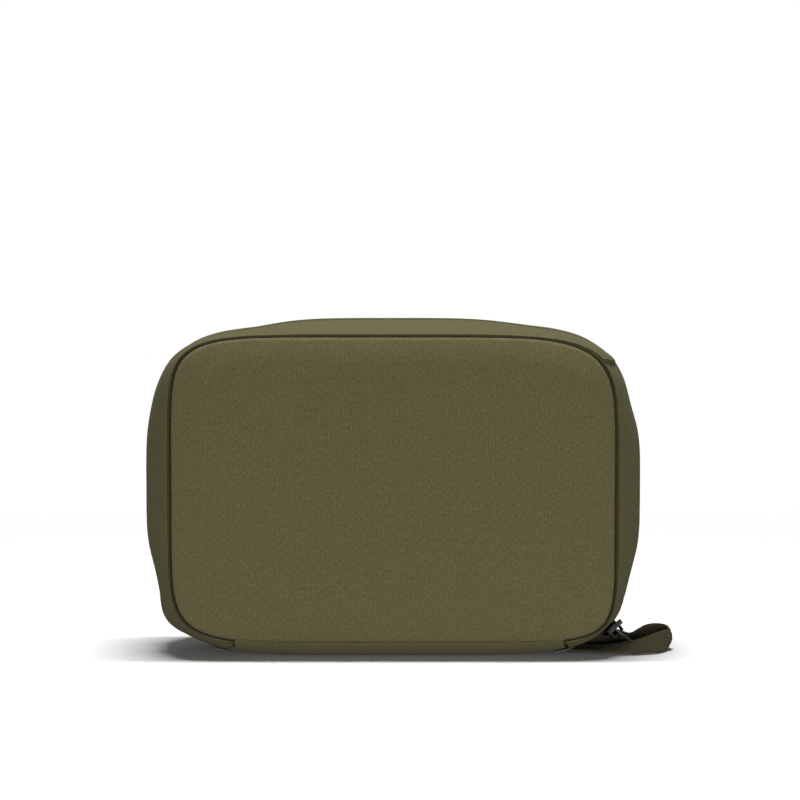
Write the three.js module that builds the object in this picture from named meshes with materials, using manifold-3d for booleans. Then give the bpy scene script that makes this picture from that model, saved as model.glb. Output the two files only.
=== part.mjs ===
// Cable organizer pouch: a padded, zip-round clamshell case that stands on its base.
// Millimetres, +Z up, +X to the right, the front panel faces -Y.
// The origin is the middle of the flat base.
// The rear shell stands still. The lid drops forward about the front bottom seam,
// and the divider follows it.
import * as THREE from "three";
import { mergeVertices } from "three/addons/utils/BufferGeometryUtils.js";
import Module from "manifold-3d";

const wasm = await Module();
wasm.setup();

// ---- driving dimensions -------------------------------------------------------------------------
const SEAM_Y = 32; // the front and back seams lie in the planes y = -32 and y = +32
const CENTRE_Z = 79; // height of the point that the outlines are drawn round
const PANEL = { halfWidth: 106.7, top: 152.4, bottom: 5.0, topPower: 7.2, basePower: 6.0 };
const CREST = { halfWidth: 120.0, top: 160.0, bottom: -0.8, topPower: 3.8, basePower: 4.6 };
const SIDE_BULGE_POWER = 2.2; // how the top and sides swell between the seams
const BASE_BULGE_POWER = 8.0; // the base is flat and turns up sharply at the seams
const GAP = 0.3; // between layers that touch

const SHELL = 2.0; // gusset and base fabric with its thin padding
const FABRIC = 1.2; // panel fabric
const FOAM = 3.0;
const LINING = 0.6;
const PANEL_CROWN = 3.6;

const TAPE = 0.6;
const TAPE_REACH = 9.0; // from the zip's centre line to the tape's outer edge
const COIL_HALF = 2.4;
const COIL_TOP = 0.6; // the coil's top lies this far below the fabric
const ZIP_WINDOW = 5.4; // from the zip's centre line to the folded fabric edge
const ZIP_GAP = 0.35; // half the slit between the two coils

const deg = THREE.MathUtils.degToRad;
const BASE_END = deg(-55.3); // where the base panel meets the gusset, at x = 80
const ZIP_TURN = deg(-22); // where the zip starts to swing forward
const ZIP_END_Y = -20; // how far forward the zip ends
const HINGE = { y: -33.4, z: 5.0 }; // the lid turns about the front bottom seam
const DIVIDER_HINGE = { y: 0, z: 5.6 };

// ---- materials ----------------------------------------------------------------------------------
const finish = (color, roughness, metalness = 0) =>
  new THREE.MeshStandardMaterial({ color, roughness, metalness });
const SHELL_FABRIC = finish(0x5f5a3e, 0.85);
const BASE_FABRIC = finish(0x57523a, 0.85);
const LINING_FABRIC = finish(0x8b8a78, 0.9);
const FOAM_WHITE = finish(0xd8d6cc, 0.95);
const BINDING_TAPE = finish(0x3d3b2c, 0.8);
const MESH_NET = finish(0x4c4a3a, 0.8);
const ELASTIC = finish(0x45432f, 0.85);
const WEBBING = finish(0x3b3a28, 0.8);
const ZIP_TAPE = finish(0x4b4832, 0.85);
const ZIP_COIL = finish(0x37352a, 0.5);
const GUNMETAL = finish(0x3a3a3a, 0.35, 0.9);
const BOARD = finish(0x2c2c2a, 0.7);

const pouch = new THREE.Group();

// ---- the soft body's outer surface --------------------------------------------------------------
const mix = THREE.MathUtils.lerp;
const bulge = (y, power) => 1 - Math.min(1, Math.abs(y) / SEAM_Y) ** power;

// A point of the body's surface, at a direction round the outline and a depth y, set in by inset.
function bodyPoint(angle, y, inset = 0) {
  const side = bulge(y, SIDE_BULGE_POWER);
  const base = bulge(y, BASE_BULGE_POWER);
  const c = Math.cos(angle);
  const s = Math.sin(angle);
  const above = s >= 0;
  const reach = above
    ? mix(PANEL.top, CREST.top, side) - CENTRE_Z
    : CENTRE_Z - mix(PANEL.bottom, CREST.bottom, base);
  const power = above
    ? mix(PANEL.topPower, CREST.topPower, side)
    : mix(PANEL.basePower, CREST.basePower, side);
  const radius = (Math.abs(c) ** power + Math.abs(s) ** power) ** (-1 / power);
  const halfWidth = mix(PANEL.halfWidth, CREST.halfWidth, side) - inset;
  const z = CENTRE_Z + (reach - inset) * radius * s;
  return new THREE.Vector3(halfWidth * radius * c, y, Math.max(Math.max(inset, 0), z));
}

// Directions from start to end, evenly spaced along the body's widest outline.
function directions(start, end, count) {
  const fine = 720;
  const length = [0];
  for (let i = 1; i <= fine; i++) {
    const a = bodyPoint(mix(start, end, (i - 1) / fine), 0);
    const b = bodyPoint(mix(start, end, i / fine), 0);
    length.push(length[i - 1] + a.distanceTo(b));
  }
  const found = [];
  let i = 0;
  for (let k = 0; k <= count; k++) {
    const target = (length[fine] * k) / count;
    while (i < fine - 1 && length[i + 1] < target) i++;
    const share = (target - length[i]) / (length[i + 1] - length[i]);
    found.push(mix(start, end, Math.min(1, (i + share) / fine)));
  }
  return found;
}

// The zip's depth: the middle of the gusset, then forward under the two lower corners.
function zipY(angle) {
  const lean = angle > Math.PI / 2 ? Math.PI - angle : angle;
  return ZIP_END_Y * THREE.MathUtils.smoothstep(-lean, -ZIP_TURN, -BASE_END);
}

// ---- closed solids from grids of points ---------------------------------------------------------
// A closed mesh from points and triangles, its faces turned to point out.
function closed(points, triangles) {
  const volume = triangles.reduce((sum, [a, b, c]) => {
    const cross = new THREE.Vector3().crossVectors(points[b], points[c]);
    return sum + points[a].dot(cross);
  }, 0);
  const index = volume > 0 ? triangles.flat() : triangles.map(([a, b, c]) => [a, c, b]).flat();
  const geometry = new THREE.BufferGeometry().setFromPoints(points);
  geometry.setIndex(index);
  geometry.computeVertexNormals();
  return geometry;
}

// A slab between two grids of points, rows x columns, its rows closed into rings if ring is true.
function slab(outer, inner, ring = false) {
  const rows = outer.length;
  const columns = outer[0].length;
  const points = [...outer.flat(), ...inner.flat()];
  const at = (side, i, j) => side * rows * columns + i * columns + (ring ? j % columns : j);
  const triangles = [];
  const quad = (a, b, c, d) => triangles.push([a, b, c], [a, c, d]);
  const steps = ring ? columns : columns - 1;
  for (let i = 0; i < rows - 1; i++) {
    for (let j = 0; j < steps; j++) {
      quad(at(0, i, j), at(0, i, j + 1), at(0, i + 1, j + 1), at(0, i + 1, j));
      quad(at(1, i, j), at(1, i + 1, j), at(1, i + 1, j + 1), at(1, i, j + 1));
    }
  }
  for (let j = 0; j < steps; j++) {
    quad(at(0, 0, j), at(1, 0, j), at(1, 0, j + 1), at(0, 0, j + 1));
    quad(at(0, rows - 1, j), at(0, rows - 1, j + 1), at(1, rows - 1, j + 1), at(1, rows - 1, j));
  }
  if (!ring) {
    for (let i = 0; i < rows - 1; i++) {
      quad(at(0, i, 0), at(0, i + 1, 0), at(1, i + 1, 0), at(1, i, 0));
      quad(at(0, i, steps), at(1, i, steps), at(1, i + 1, steps), at(0, i + 1, steps));
    }
  }
  return closed(points, triangles);
}

// A crowned plate with the panels' outline, set in by inset.
// outerY and innerY are the depths of its two faces at the outline.
const DISC_RINGS = [0.6, 0.88, 1];
const DISC_SIDES = 54;
const STRIP_COLUMNS = 54;
function panelPlate(facing, inset, outerY, innerY) {
  const crown = (share) => PANEL_CROWN * (1 - share ** 4);
  const turns = directions(BASE_END, BASE_END + 2 * Math.PI, DISC_SIDES).slice(0, -1);
  const face = (y) =>
    DISC_RINGS.map((share) =>
      turns.map((angle) => {
        const edge = bodyPoint(angle, SEAM_Y, inset);
        const x = edge.x * share;
        const z = CENTRE_Z + (edge.z - CENTRE_Z) * share;
        return new THREE.Vector3(x, facing * (y + crown(share)), z);
      }),
    );
  const outer = face(outerY);
  const inner = face(innerY);
  const points = [...outer.flat(), ...inner.flat()];
  points.push(new THREE.Vector3(0, facing * (outerY + PANEL_CROWN), CENTRE_Z));
  points.push(new THREE.Vector3(0, facing * (innerY + PANEL_CROWN), CENTRE_Z));
  const rings = DISC_RINGS.length;
  const at = (side, i, j) => side * rings * DISC_SIDES + i * DISC_SIDES + (j % DISC_SIDES);
  const centre = (side) => 2 * rings * DISC_SIDES + side;
  const triangles = [];
  const quad = (a, b, c, d) => triangles.push([a, b, c], [a, c, d]);
  for (let j = 0; j < DISC_SIDES; j++) {
    triangles.push([centre(0), at(0, 0, j), at(0, 0, j + 1)]);
    triangles.push([centre(1), at(1, 0, j + 1), at(1, 0, j)]);
    for (let i = 0; i < rings - 1; i++) {
      quad(at(0, i, j), at(0, i + 1, j), at(0, i + 1, j + 1), at(0, i, j + 1));
      quad(at(1, i, j), at(1, i, j + 1), at(1, i + 1, j + 1), at(1, i + 1, j));
    }
    const rim = rings - 1;
    quad(at(0, rim, j), at(1, rim, j), at(1, rim, j + 1), at(0, rim, j + 1));
  }
  return closed(points, triangles);
}

// A strip of the gusset: it follows the body between two depths, which may depend on the direction.
// shares are the rows' places between the two depths, from 0 to 1.
// lowest leaves off the ends below that direction.
function gussetStrip({ from, to, outside, inside, shares, lowest = BASE_END }) {
  const turns = directions(BASE_END, Math.PI - BASE_END, STRIP_COLUMNS).filter(
    (angle) => angle > lowest - 1e-6 && angle < Math.PI - lowest + 1e-6,
  );
  const grid = (inset) =>
    shares.map((share) =>
      turns.map((angle) => bodyPoint(angle, mix(from(angle), to(angle), share), inset)),
    );
  return slab(grid(outside), grid(inside));
}

// A ribbon of webbing through stations, each a centre and the direction of the ribbon's width.
// from and to are shares of the way along the stations.
function ribbon(stations, width, thickness, steps, from = 0, to = 1) {
  const centres = new THREE.CatmullRomCurve3(stations.map((s) => new THREE.Vector3(...s.at)));
  const widths = new THREE.CatmullRomCurve3(stations.map((s) => new THREE.Vector3(...s.across)));
  const side = (sign) =>
    Array.from({ length: steps + 1 }, (_, i) => {
      const t = mix(from, to, i / steps);
      const across = widths.getPoint(t).normalize();
      const along = centres.getTangent(t);
      const normal = new THREE.Vector3().crossVectors(along, across).normalize();
      const middle = centres.getPoint(t).addScaledVector(normal, (sign * thickness) / 2);
      return [-0.5, 0.5].map((k) => middle.clone().addScaledVector(across, k * width));
    });
  return slab(side(1), side(-1));
}

// ---- manifold-3d helpers for the few pieces that need a join or a cut ---------------------------
function solid(geometry) {
  const bare = geometry.clone();
  bare.deleteAttribute("normal");
  bare.deleteAttribute("uv");
  const merged = mergeVertices(bare);
  return new wasm.Manifold(
    new wasm.Mesh({
      numProp: 3,
      vertProperties: new Float32Array(merged.attributes.position.array),
      triVerts: new Uint32Array(merged.index.array),
    }),
  );
}

function geometryOf(manifold) {
  const mesh = manifold.getMesh();
  const geometry = new THREE.BufferGeometry();
  geometry.setAttribute("position", new THREE.BufferAttribute(mesh.vertProperties, 3));
  geometry.setIndex(new THREE.BufferAttribute(mesh.triVerts, 1));
  geometry.computeVertexNormals();
  return geometry;
}

const box = (sx, sy, sz, x = 0, y = 0, z = 0) =>
  new THREE.BoxGeometry(sx, sy, sz).translate(x, y, z);

function add(name, geometry, material, parent = pouch) {
  const mesh = new THREE.Mesh(geometry, material.clone());
  mesh.name = name;
  parent.add(mesh);
  return mesh;
}

// ---- shells: panels, foam, linings, gussets, binding --------------------------------------------
const FRONT = -1;
const BACK = 1;
const layerY = {
  fabric: [SEAM_Y + FABRIC, SEAM_Y],
  foam: [SEAM_Y - GAP, SEAM_Y - GAP - FOAM],
  lining: [SEAM_Y - 2 * GAP - FOAM, SEAM_Y - 2 * GAP - FOAM - LINING],
};
const FOAM_INSET = SHELL + 0.9;
const LINING_INSET = SHELL + 1.8;

function buildShell(side, prefix) {
  add(`${prefix}_panel`, panelPlate(side, 0.4, ...layerY.fabric), SHELL_FABRIC);
  add(`${prefix}_foam`, panelPlate(side, FOAM_INSET, ...layerY.foam), FOAM_WHITE);
  add(`${prefix}_lining`, panelPlate(side, LINING_INSET, ...layerY.lining), LINING_FABRIC);

  const gussetSeam = () => side * (SEAM_Y - GAP);
  const fabricEdge = (angle) => zipY(angle) + side * ZIP_WINDOW;
  add(
    `${prefix}_gusset`,
    gussetStrip({
      from: gussetSeam,
      to: fabricEdge,
      outside: 0,
      inside: SHELL,
      shares: [0, 0.12, 0.3, 0.55, 0.8, 1],
    }),
    SHELL_FABRIC,
  );
  add(
    `${prefix}_zip_tape`,
    gussetStrip({
      from: (angle) => zipY(angle) + side * TAPE_REACH,
      to: (angle) => zipY(angle) + side * 0.5,
      outside: SHELL + GAP,
      inside: SHELL + GAP + TAPE,
      shares: [0, 1],
    }),
    ZIP_TAPE,
  );
  add(
    `${prefix}_zip_coil`,
    gussetStrip({
      from: (angle) => zipY(angle) + side * COIL_HALF,
      to: (angle) => zipY(angle) + side * ZIP_GAP,
      outside: COIL_TOP,
      inside: SHELL,
      shares: [0, 1],
    }),
    ZIP_COIL,
  );
  // The seam allowance is bound with a tape that runs round the inside of the seam.
  const bindingY = side * (SEAM_Y - 2 * GAP - FOAM);
  const ring = (inset) =>
    [0, 2.2].map((deep) =>
      directions(BASE_END, BASE_END + 2 * Math.PI, DISC_SIDES)
        .slice(0, -1)
        .map((angle) => bodyPoint(angle, side * SEAM_Y, inset).setY(bindingY - side * deep)),
    );
  add(`${prefix}_seam_binding`, slab(ring(1.8), ring(3.4), true), BINDING_TAPE);
}

buildShell(FRONT, "front");
buildShell(BACK, "rear");

// The gussets' linings stop short of the zip tape.
function gussetLining(side, prefix) {
  const edge = (angle) => zipY(angle) + side * (TAPE_REACH + 0.6);
  add(
    `${prefix}_gusset_lining`,
    gussetStrip({
      from: () => side * 25.8,
      to: edge,
      outside: SHELL + 3 * GAP,
      inside: SHELL + 3 * GAP + LINING,
      shares: [0, 0.4, 1],
      lowest: deg(-40), // below this the zip tape fills the front strip
    }),
    LINING_FABRIC,
  );
}
gussetLining(FRONT, "front");
gussetLining(BACK, "rear");

// ---- base: outer panel, stiffener board, lining -------------------------------------------------
const BASE_ROWS = [-31.7, -30.6, -28.6, -25, -11, 13, 25, 28.6, 30.6, 31.7];
const BASE_MARGIN = deg(0.25); // clear of the gusset's ends
function basePanel() {
  const left = Math.PI - BASE_END + BASE_MARGIN;
  const right = 2 * Math.PI + BASE_END - BASE_MARGIN;
  const turns = directions(left, right, 15);
  const grid = (inset) => BASE_ROWS.map((y) => turns.map((angle) => bodyPoint(angle, y, inset)));
  return slab(grid(0), grid(SHELL));
}
add("base_panel", basePanel(), BASE_FABRIC);

const BASE_BOARD = { x: 118, y: 44, z: 1.2, lift: 0.6 };
const boardZ = SHELL + BASE_BOARD.lift + BASE_BOARD.z / 2;
add("base_board", box(BASE_BOARD.x, BASE_BOARD.y, BASE_BOARD.z, 0, 0, boardZ), BOARD);
const baseLiningZ = boardZ + BASE_BOARD.z / 2 + GAP + LINING / 2;
add("base_lining", box(128, 48, LINING, 0, 0, baseLiningZ), LINING_FABRIC);

// Fabric patches that cover the two ends of the zip and finish the base's end seams.
function zipEndTab(name, mirrored) {
  const flip = (angle) => (mirrored ? Math.PI - angle : angle);
  const turns = directions(deg(-55.0), deg(-51.5), 3).map(flip);
  const grid = (inset) =>
    [-24, -20, -16].map((y) => turns.map((angle) => bodyPoint(angle, y, inset)));
  add(name, slab(grid(-1.0), grid(-GAP)), BINDING_TAPE);
}
zipEndTab("zip_end_tab_right", false);
zipEndTab("zip_end_tab_left", true);

// ---- grab loop: flat webbing sewn to the base's right end, lying beside it ----------------------
const LOOP_WIDTH = 10;
const LOOP_THICKNESS = 1.3;
const LOOP_STATIONS = [
  { at: [82.5, -7, 1.1], across: [0, 1, 0] },
  { at: [92.0, -14, 1.4], across: [0.3, 0.95, 0.05] },
  { at: [103.0, -21.5, 2.0], across: [0.2, 0.97, 0.14] },
  { at: [113.0, -23.5, 2.7], across: [0, 0.95, 0.3] },
  { at: [122.5, -22.0, 3.8], across: [0, 0.82, 0.56] },
  { at: [130.5, -16.5, 5.6], across: [0.1, 0.35, 0.93] },
  { at: [134.0, -8.0, 7.2], across: [0.15, 0, 0.99] },
  { at: [130.5, 1.0, 8.2], across: [0, -0.15, 0.98] },
  { at: [122.5, 5.5, 7.8], across: [0, -0.36, 0.93] },
  { at: [113.0, 6.5, 5.4], across: [0, -0.55, 0.83] },
  { at: [103.0, 6.0, 3.4], across: [0, -0.93, 0.36] },
  { at: [92.0, 7.0, 2.0], across: [-0.1, -0.98, 0.16] },
  { at: [82.5, 8.0, 1.1], across: [0, -1, 0] },
];
// The two sewn ends stay with the base, and the bight between them lifts.
const LOOP_LAST = LOOP_STATIONS.length - 1;
const NEAR_CUT = 2 / LOOP_LAST;
const FAR_CUT = (LOOP_LAST - 2) / LOOP_LAST;
const CUT_GAP = 0.004;
const loopPiece = (name, steps, from, to) =>
  add(name, ribbon(LOOP_STATIONS, LOOP_WIDTH, LOOP_THICKNESS, steps, from, to), WEBBING);
loopPiece("grab_loop_end_front", 8, 0, NEAR_CUT - CUT_GAP);
loopPiece("grab_loop", 34, NEAR_CUT + CUT_GAP, FAR_CUT - CUT_GAP);
loopPiece("grab_loop_end_rear", 8, FAR_CUT + CUT_GAP, 1);

// ---- main zip slider, parked at the lower right corner ------------------------------------------
// Its own frame: x along the zip towards the top, y across it, z out of the fabric.
const MAIN_PARK = deg(-43);
function zipFrame(angle) {
  const at = (a) => bodyPoint(a, zipY(a));
  const here = at(angle);
  const along = at(angle + 0.01).sub(at(angle - 0.01)).normalize();
  const y = zipY(angle);
  const roundBody = bodyPoint(angle + 0.01, y).sub(bodyPoint(angle - 0.01, y));
  const out = new THREE.Vector3().crossVectors(roundBody, new THREE.Vector3(0, 1, 0)).normalize();
  if (out.x * Math.cos(angle) + out.z * Math.sin(angle) < 0) out.negate();
  const across = new THREE.Vector3().crossVectors(out, along).normalize();
  out.crossVectors(along, across).normalize();
  return new THREE.Matrix4().makeBasis(along, across, out).setPosition(here);
}

// A slider that straddles the coil: a top plate with two side flanges.
function sliderPlate(length, half, flange, plateZ, plateThickness, flangeDepth) {
  const profile = new THREE.Shape();
  profile.moveTo(-half, plateZ + plateThickness);
  profile.lineTo(-half, -flangeDepth);
  profile.lineTo(-half + flange, -flangeDepth);
  profile.lineTo(-half + flange, plateZ);
  profile.lineTo(half - flange, plateZ);
  profile.lineTo(half - flange, -flangeDepth);
  profile.lineTo(half, -flangeDepth);
  profile.lineTo(half, plateZ + plateThickness);
  profile.closePath();
  const bar = new THREE.ExtrudeGeometry(profile, { depth: length, bevelEnabled: false });
  // The profile's x and y become the slider's y and z, and the extrusion runs along its x.
  const along = new THREE.Vector3(1, 0, 0);
  const across = new THREE.Vector3(0, 1, 0);
  const out = new THREE.Vector3(0, 0, 1);
  bar.applyMatrix4(new THREE.Matrix4().makeBasis(across, out, along));
  return bar.translate(-length / 2, 0, 0);
}

// The bridge that holds the pull: an arch along the slider, seen from the side.
function sliderBridge(footZ, reach, height, bar, width) {
  const arch = new THREE.Shape();
  arch.moveTo(-reach, footZ);
  arch.lineTo(-reach, footZ + height - 1.2);
  arch.quadraticCurveTo(-reach, footZ + height, -reach + 1.6, footZ + height);
  arch.lineTo(reach - 1.6, footZ + height);
  arch.quadraticCurveTo(reach, footZ + height, reach, footZ + height - 1.2);
  arch.lineTo(reach, footZ);
  arch.lineTo(reach - bar, footZ);
  arch.lineTo(reach - bar, footZ + height - bar);
  arch.lineTo(-reach + bar, footZ + height - bar);
  arch.lineTo(-reach + bar, footZ);
  arch.closePath();
  const extrusion = { depth: width, bevelEnabled: false, curveSegments: 3 };
  const band = new THREE.ExtrudeGeometry(arch, extrusion);
  return band.translate(0, 0, -width / 2).rotateX(Math.PI / 2);
}

// A pull with a window round the bridge. It lies along x from its crossbar at the origin.
function pullTab(length, half, thickness, windowEnd, windowHalf) {
  const tab = new THREE.Shape();
  tab.moveTo(-0.8, -half);
  tab.lineTo(length - half, -half);
  tab.absarc(length - half, 0, half, -Math.PI / 2, Math.PI / 2, false);
  tab.lineTo(-0.8, half);
  tab.closePath();
  const window = new THREE.Path();
  window.moveTo(0.8, -windowHalf);
  window.lineTo(0.8, windowHalf);
  window.lineTo(windowEnd, windowHalf);
  window.lineTo(windowEnd, -windowHalf);
  window.closePath();
  tab.holes.push(window);
  const extrusion = { depth: thickness, bevelEnabled: false, curveSegments: 6 };
  return new THREE.ExtrudeGeometry(tab, extrusion).translate(0, 0, -thickness / 2);
}

const MAIN_SLIDER = { length: 9, half: 3.9, flange: 0.8, plateZ: 0.4, plate: 1.2, flangeDepth: 0.8 };
const MAIN_PIVOT_Z = 2.9;
const mainSlider = new THREE.Group();
mainSlider.applyMatrix4(zipFrame(MAIN_PARK));
pouch.add(mainSlider);
const mainPlate = solid(
  sliderPlate(
    MAIN_SLIDER.length,
    MAIN_SLIDER.half,
    MAIN_SLIDER.flange,
    MAIN_SLIDER.plateZ,
    MAIN_SLIDER.plate,
    MAIN_SLIDER.flangeDepth,
  ),
);
const mainBridge = solid(sliderBridge(1.4, 3.6, 3.6, 0.9, 2.0));
add("main_slider", geometryOf(mainPlate.add(mainBridge)), GUNMETAL, mainSlider);
const mainPull = new THREE.Group();
mainPull.position.set(0, 0, MAIN_PIVOT_Z);
mainPull.rotation.y = deg(-76);
mainSlider.add(mainPull);
add("main_pull", pullTab(15, 3.2, 1.1, 6.2, 1.5), GUNMETAL, mainPull);

// ---- lid pocket: mesh behind a straight zip -----------------------------------------------------
// It lies flat on the lid's lining, which faces the inside of the pouch.
const LINING_EDGE_Y = SEAM_Y - 2 * GAP - FOAM - LINING; // the lining's face at its edge
const LID_FACE_Y = 0.2 - LINING_EDGE_Y;
const POCKET = { halfWidth: 86, bottom: 20, zip: 116, corner: 14 };
function roundedPlate(halfWidth, bottom, top, bottomRadius, topRadius, thickness, y) {
  const quarter = Math.PI / 2;
  const lowX = halfWidth - bottomRadius;
  const lowZ = bottom + bottomRadius;
  const highX = halfWidth - topRadius;
  const highZ = top - topRadius;
  const shape = new THREE.Shape();
  shape.moveTo(-lowX, bottom);
  shape.lineTo(lowX, bottom);
  shape.absarc(lowX, lowZ, bottomRadius, -quarter, 0, false);
  shape.lineTo(halfWidth, highZ);
  shape.absarc(highX, highZ, topRadius, 0, quarter, false);
  shape.lineTo(-highX, top);
  shape.absarc(-highX, highZ, topRadius, quarter, 2 * quarter, false);
  shape.lineTo(-halfWidth, lowZ);
  shape.absarc(-lowX, lowZ, bottomRadius, 2 * quarter, 3 * quarter, false);
  return { shape, thickness, y };
}
const plateOf = ({ shape, thickness, y }) =>
  new THREE.ExtrudeGeometry(shape, { depth: thickness, bevelEnabled: false, curveSegments: 6 })
    .rotateX(Math.PI / 2)
    .translate(0, y + thickness, 0);
const SMALL = 0.5; // a corner that is only broken

const pocketY = LID_FACE_Y + GAP;
const pocketNet = roundedPlate(
  POCKET.halfWidth,
  POCKET.bottom,
  POCKET.zip - 6,
  POCKET.corner,
  SMALL,
  0.8,
  pocketY,
);
add("lid_mesh_pocket", plateOf(pocketNet), MESH_NET);
const trim = roundedPlate(
  POCKET.halfWidth + 5,
  POCKET.bottom - 5,
  POCKET.zip + 12,
  POCKET.corner + 4,
  10,
  1.2,
  pocketY,
);
const trimOpening = roundedPlate(
  POCKET.halfWidth + 0.4,
  POCKET.bottom - 0.4,
  POCKET.zip + 6.4,
  POCKET.corner,
  SMALL,
);
trim.shape.holes.push(new THREE.Path(trimOpening.shape.getPoints(6)));
add("lid_pocket_binding", plateOf(trim), BINDING_TAPE);
const pocketTape = (name, z) =>
  add(name, box(2 * POCKET.halfWidth, 0.6, 5.4, 0, pocketY + 0.3, z), ZIP_TAPE);
pocketTape("lid_pocket_tape_lower", POCKET.zip - 3.0);
pocketTape("lid_pocket_tape_upper", POCKET.zip + 3.0);
const pocketCoil = (name, z) =>
  add(name, box(2 * POCKET.halfWidth - 6, 1.2, 1.5, 0, pocketY + 0.6 + GAP + 0.6, z), ZIP_COIL);
pocketCoil("lid_pocket_coil_lower", POCKET.zip - 1.1);
pocketCoil("lid_pocket_coil_upper", POCKET.zip + 1.1);

// The pocket's slider, parked at the right-hand end. Its own x runs towards -X and its z towards +Y.
const POCKET_SLIDER_X = POCKET.halfWidth - 10;
const pocketSlider = new THREE.Group();
pocketSlider.applyMatrix4(
  new THREE.Matrix4()
    .makeBasis(
      new THREE.Vector3(-1, 0, 0),
      new THREE.Vector3(0, 0, 1),
      new THREE.Vector3(0, 1, 0),
    )
    .setPosition(POCKET_SLIDER_X, pocketY + 0.6 + GAP + 1.2, POCKET.zip),
);
pouch.add(pocketSlider);
const pocketPlate = solid(sliderPlate(8, 3.4, 0.9, 0.4, 1.0, 0.8));
const pocketBridge = solid(sliderBridge(1.2, 3.2, 3.4, 0.8, 1.6));
add("lid_pocket_slider", geometryOf(pocketPlate.add(pocketBridge)), GUNMETAL, pocketSlider);
const pocketPull = new THREE.Group();
pocketPull.position.set(0, 0, 2.5);
pocketPull.rotation.y = deg(-8);
pocketSlider.add(pocketPull);
add("lid_pocket_pull", pullTab(13, 2.4, 1.0, 5.4, 1.2), GUNMETAL, pocketPull);

// ---- divider: a padded flap sewn to the middle of the base --------------------------------------
const DIVIDER = {
  halfWidth: 88,
  bottom: 8.2,
  top: 126,
  bottomRadius: 26,
  topRadius: 16,
  thickness: 2.4,
};
add(
  "divider_panel",
  plateOf(
    roundedPlate(
      DIVIDER.halfWidth,
      DIVIDER.bottom,
      DIVIDER.top,
      DIVIDER.bottomRadius,
      DIVIDER.topRadius,
      DIVIDER.thickness,
      -DIVIDER.thickness / 2,
    ),
  ),
  LINING_FABRIC,
);
const DIVIDER_EDGE = 2.0;
const dividerRim = roundedPlate(
  DIVIDER.halfWidth + GAP + DIVIDER_EDGE,
  DIVIDER.bottom - GAP - DIVIDER_EDGE,
  DIVIDER.top + GAP + DIVIDER_EDGE,
  DIVIDER.bottomRadius + DIVIDER_EDGE,
  DIVIDER.topRadius + DIVIDER_EDGE,
  DIVIDER.thickness + 0.8,
  -DIVIDER.thickness / 2 - 0.4,
);
const dividerEdge = roundedPlate(
  DIVIDER.halfWidth + GAP,
  DIVIDER.bottom - GAP,
  DIVIDER.top + GAP,
  DIVIDER.bottomRadius,
  DIVIDER.topRadius,
);
dividerRim.shape.holes.push(new THREE.Path(dividerEdge.shape.getPoints(6)));
add("divider_binding", plateOf(dividerRim), BINDING_TAPE);

// An elastic cable loop: a band that arches off a flat face and is sewn down at both ends.
function cableLoop(name, x, z, faceY, facing, { half, foot, rise, height }) {
  const thick = 1.0;
  const outline = new THREE.Shape();
  const flat = half - foot;
  outline.moveTo(-half, 0);
  outline.lineTo(-half, thick);
  outline.lineTo(-flat - 0.6, thick);
  outline.bezierCurveTo(-flat, rise + thick, -flat * 0.55, rise + thick, 0, rise + thick);
  outline.bezierCurveTo(flat * 0.55, rise + thick, flat, rise + thick, flat + 0.6, thick);
  outline.lineTo(half, thick);
  outline.lineTo(half, 0);
  outline.lineTo(flat - 0.4, 0);
  outline.bezierCurveTo(flat - 1, rise, flat * 0.5, rise, 0, rise);
  outline.bezierCurveTo(-flat * 0.5, rise, -flat + 1, rise, -flat + 0.4, 0);
  outline.closePath();
  const extrusion = { depth: height, bevelEnabled: false, curveSegments: 5 };
  const band = new THREE.ExtrudeGeometry(outline, extrusion);
  // The outline's y is the rise off the face, and the band's height runs along Z.
  if (facing < 0) band.rotateZ(Math.PI);
  band.translate(x, faceY + facing * GAP, z - height / 2);
  add(name, band, ELASTIC);
}
const LOOP = { half: 17, foot: 3, rise: 9, height: 20 };
const LOOP_PITCH = 38;
const LOOP_COUNT = 4;
const loopX = (i) => (i - (LOOP_COUNT - 1) / 2) * LOOP_PITCH;
for (let i = 0; i < LOOP_COUNT; i++) {
  cableLoop(`divider_cable_loop_${i + 1}`, loopX(i), 98, -DIVIDER.thickness / 2, FRONT, LOOP);
}

// A slip pocket: a sheet that stands off a face, closed at its sides and bottom, open at its top.
function slipPocket(name, material, size) {
  const { halfWidth, bottom, top, faceY, facing, stand, thick, corner } = size;
  const columns = 16;
  const rows = 6;
  const sheet = (lift) =>
    Array.from({ length: rows + 1 }, (_, i) => {
      const v = i / rows;
      const rise = Math.sin((Math.PI / 2) * Math.min(1, v * 1.5));
      return Array.from({ length: columns + 1 }, (_, j) => {
        const u = (2 * j) / columns - 1;
        const crown = (1 - Math.abs(u) ** 6) * rise;
        const shrink = corner * (1 - Math.min(1, v * 2.2)) ** 2;
        const x = u * (halfWidth - shrink);
        const y = faceY + facing * (GAP + stand * crown + lift);
        return new THREE.Vector3(x, y, mix(bottom, top, v));
      });
    });
  add(name, slab(sheet(thick), sheet(0)), material);
}
const DIVIDER_POCKET = { halfWidth: 80, bottom: 14, top: 72, stand: 7, thick: 0.9, corner: 12 };
slipPocket("divider_slip_pocket", LINING_FABRIC, {
  ...DIVIDER_POCKET,
  faceY: -DIVIDER.thickness / 2,
  facing: FRONT,
});

// ---- rear wall: mesh pocket with an elastic edge, cable loops -----------------------------------
const REAR_POCKET = { halfWidth: 92, bottom: 16, top: 80, stand: 8, thick: 0.9, corner: 14 };
slipPocket("rear_mesh_pocket", MESH_NET, { ...REAR_POCKET, faceY: LINING_EDGE_Y, facing: FRONT });

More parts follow.
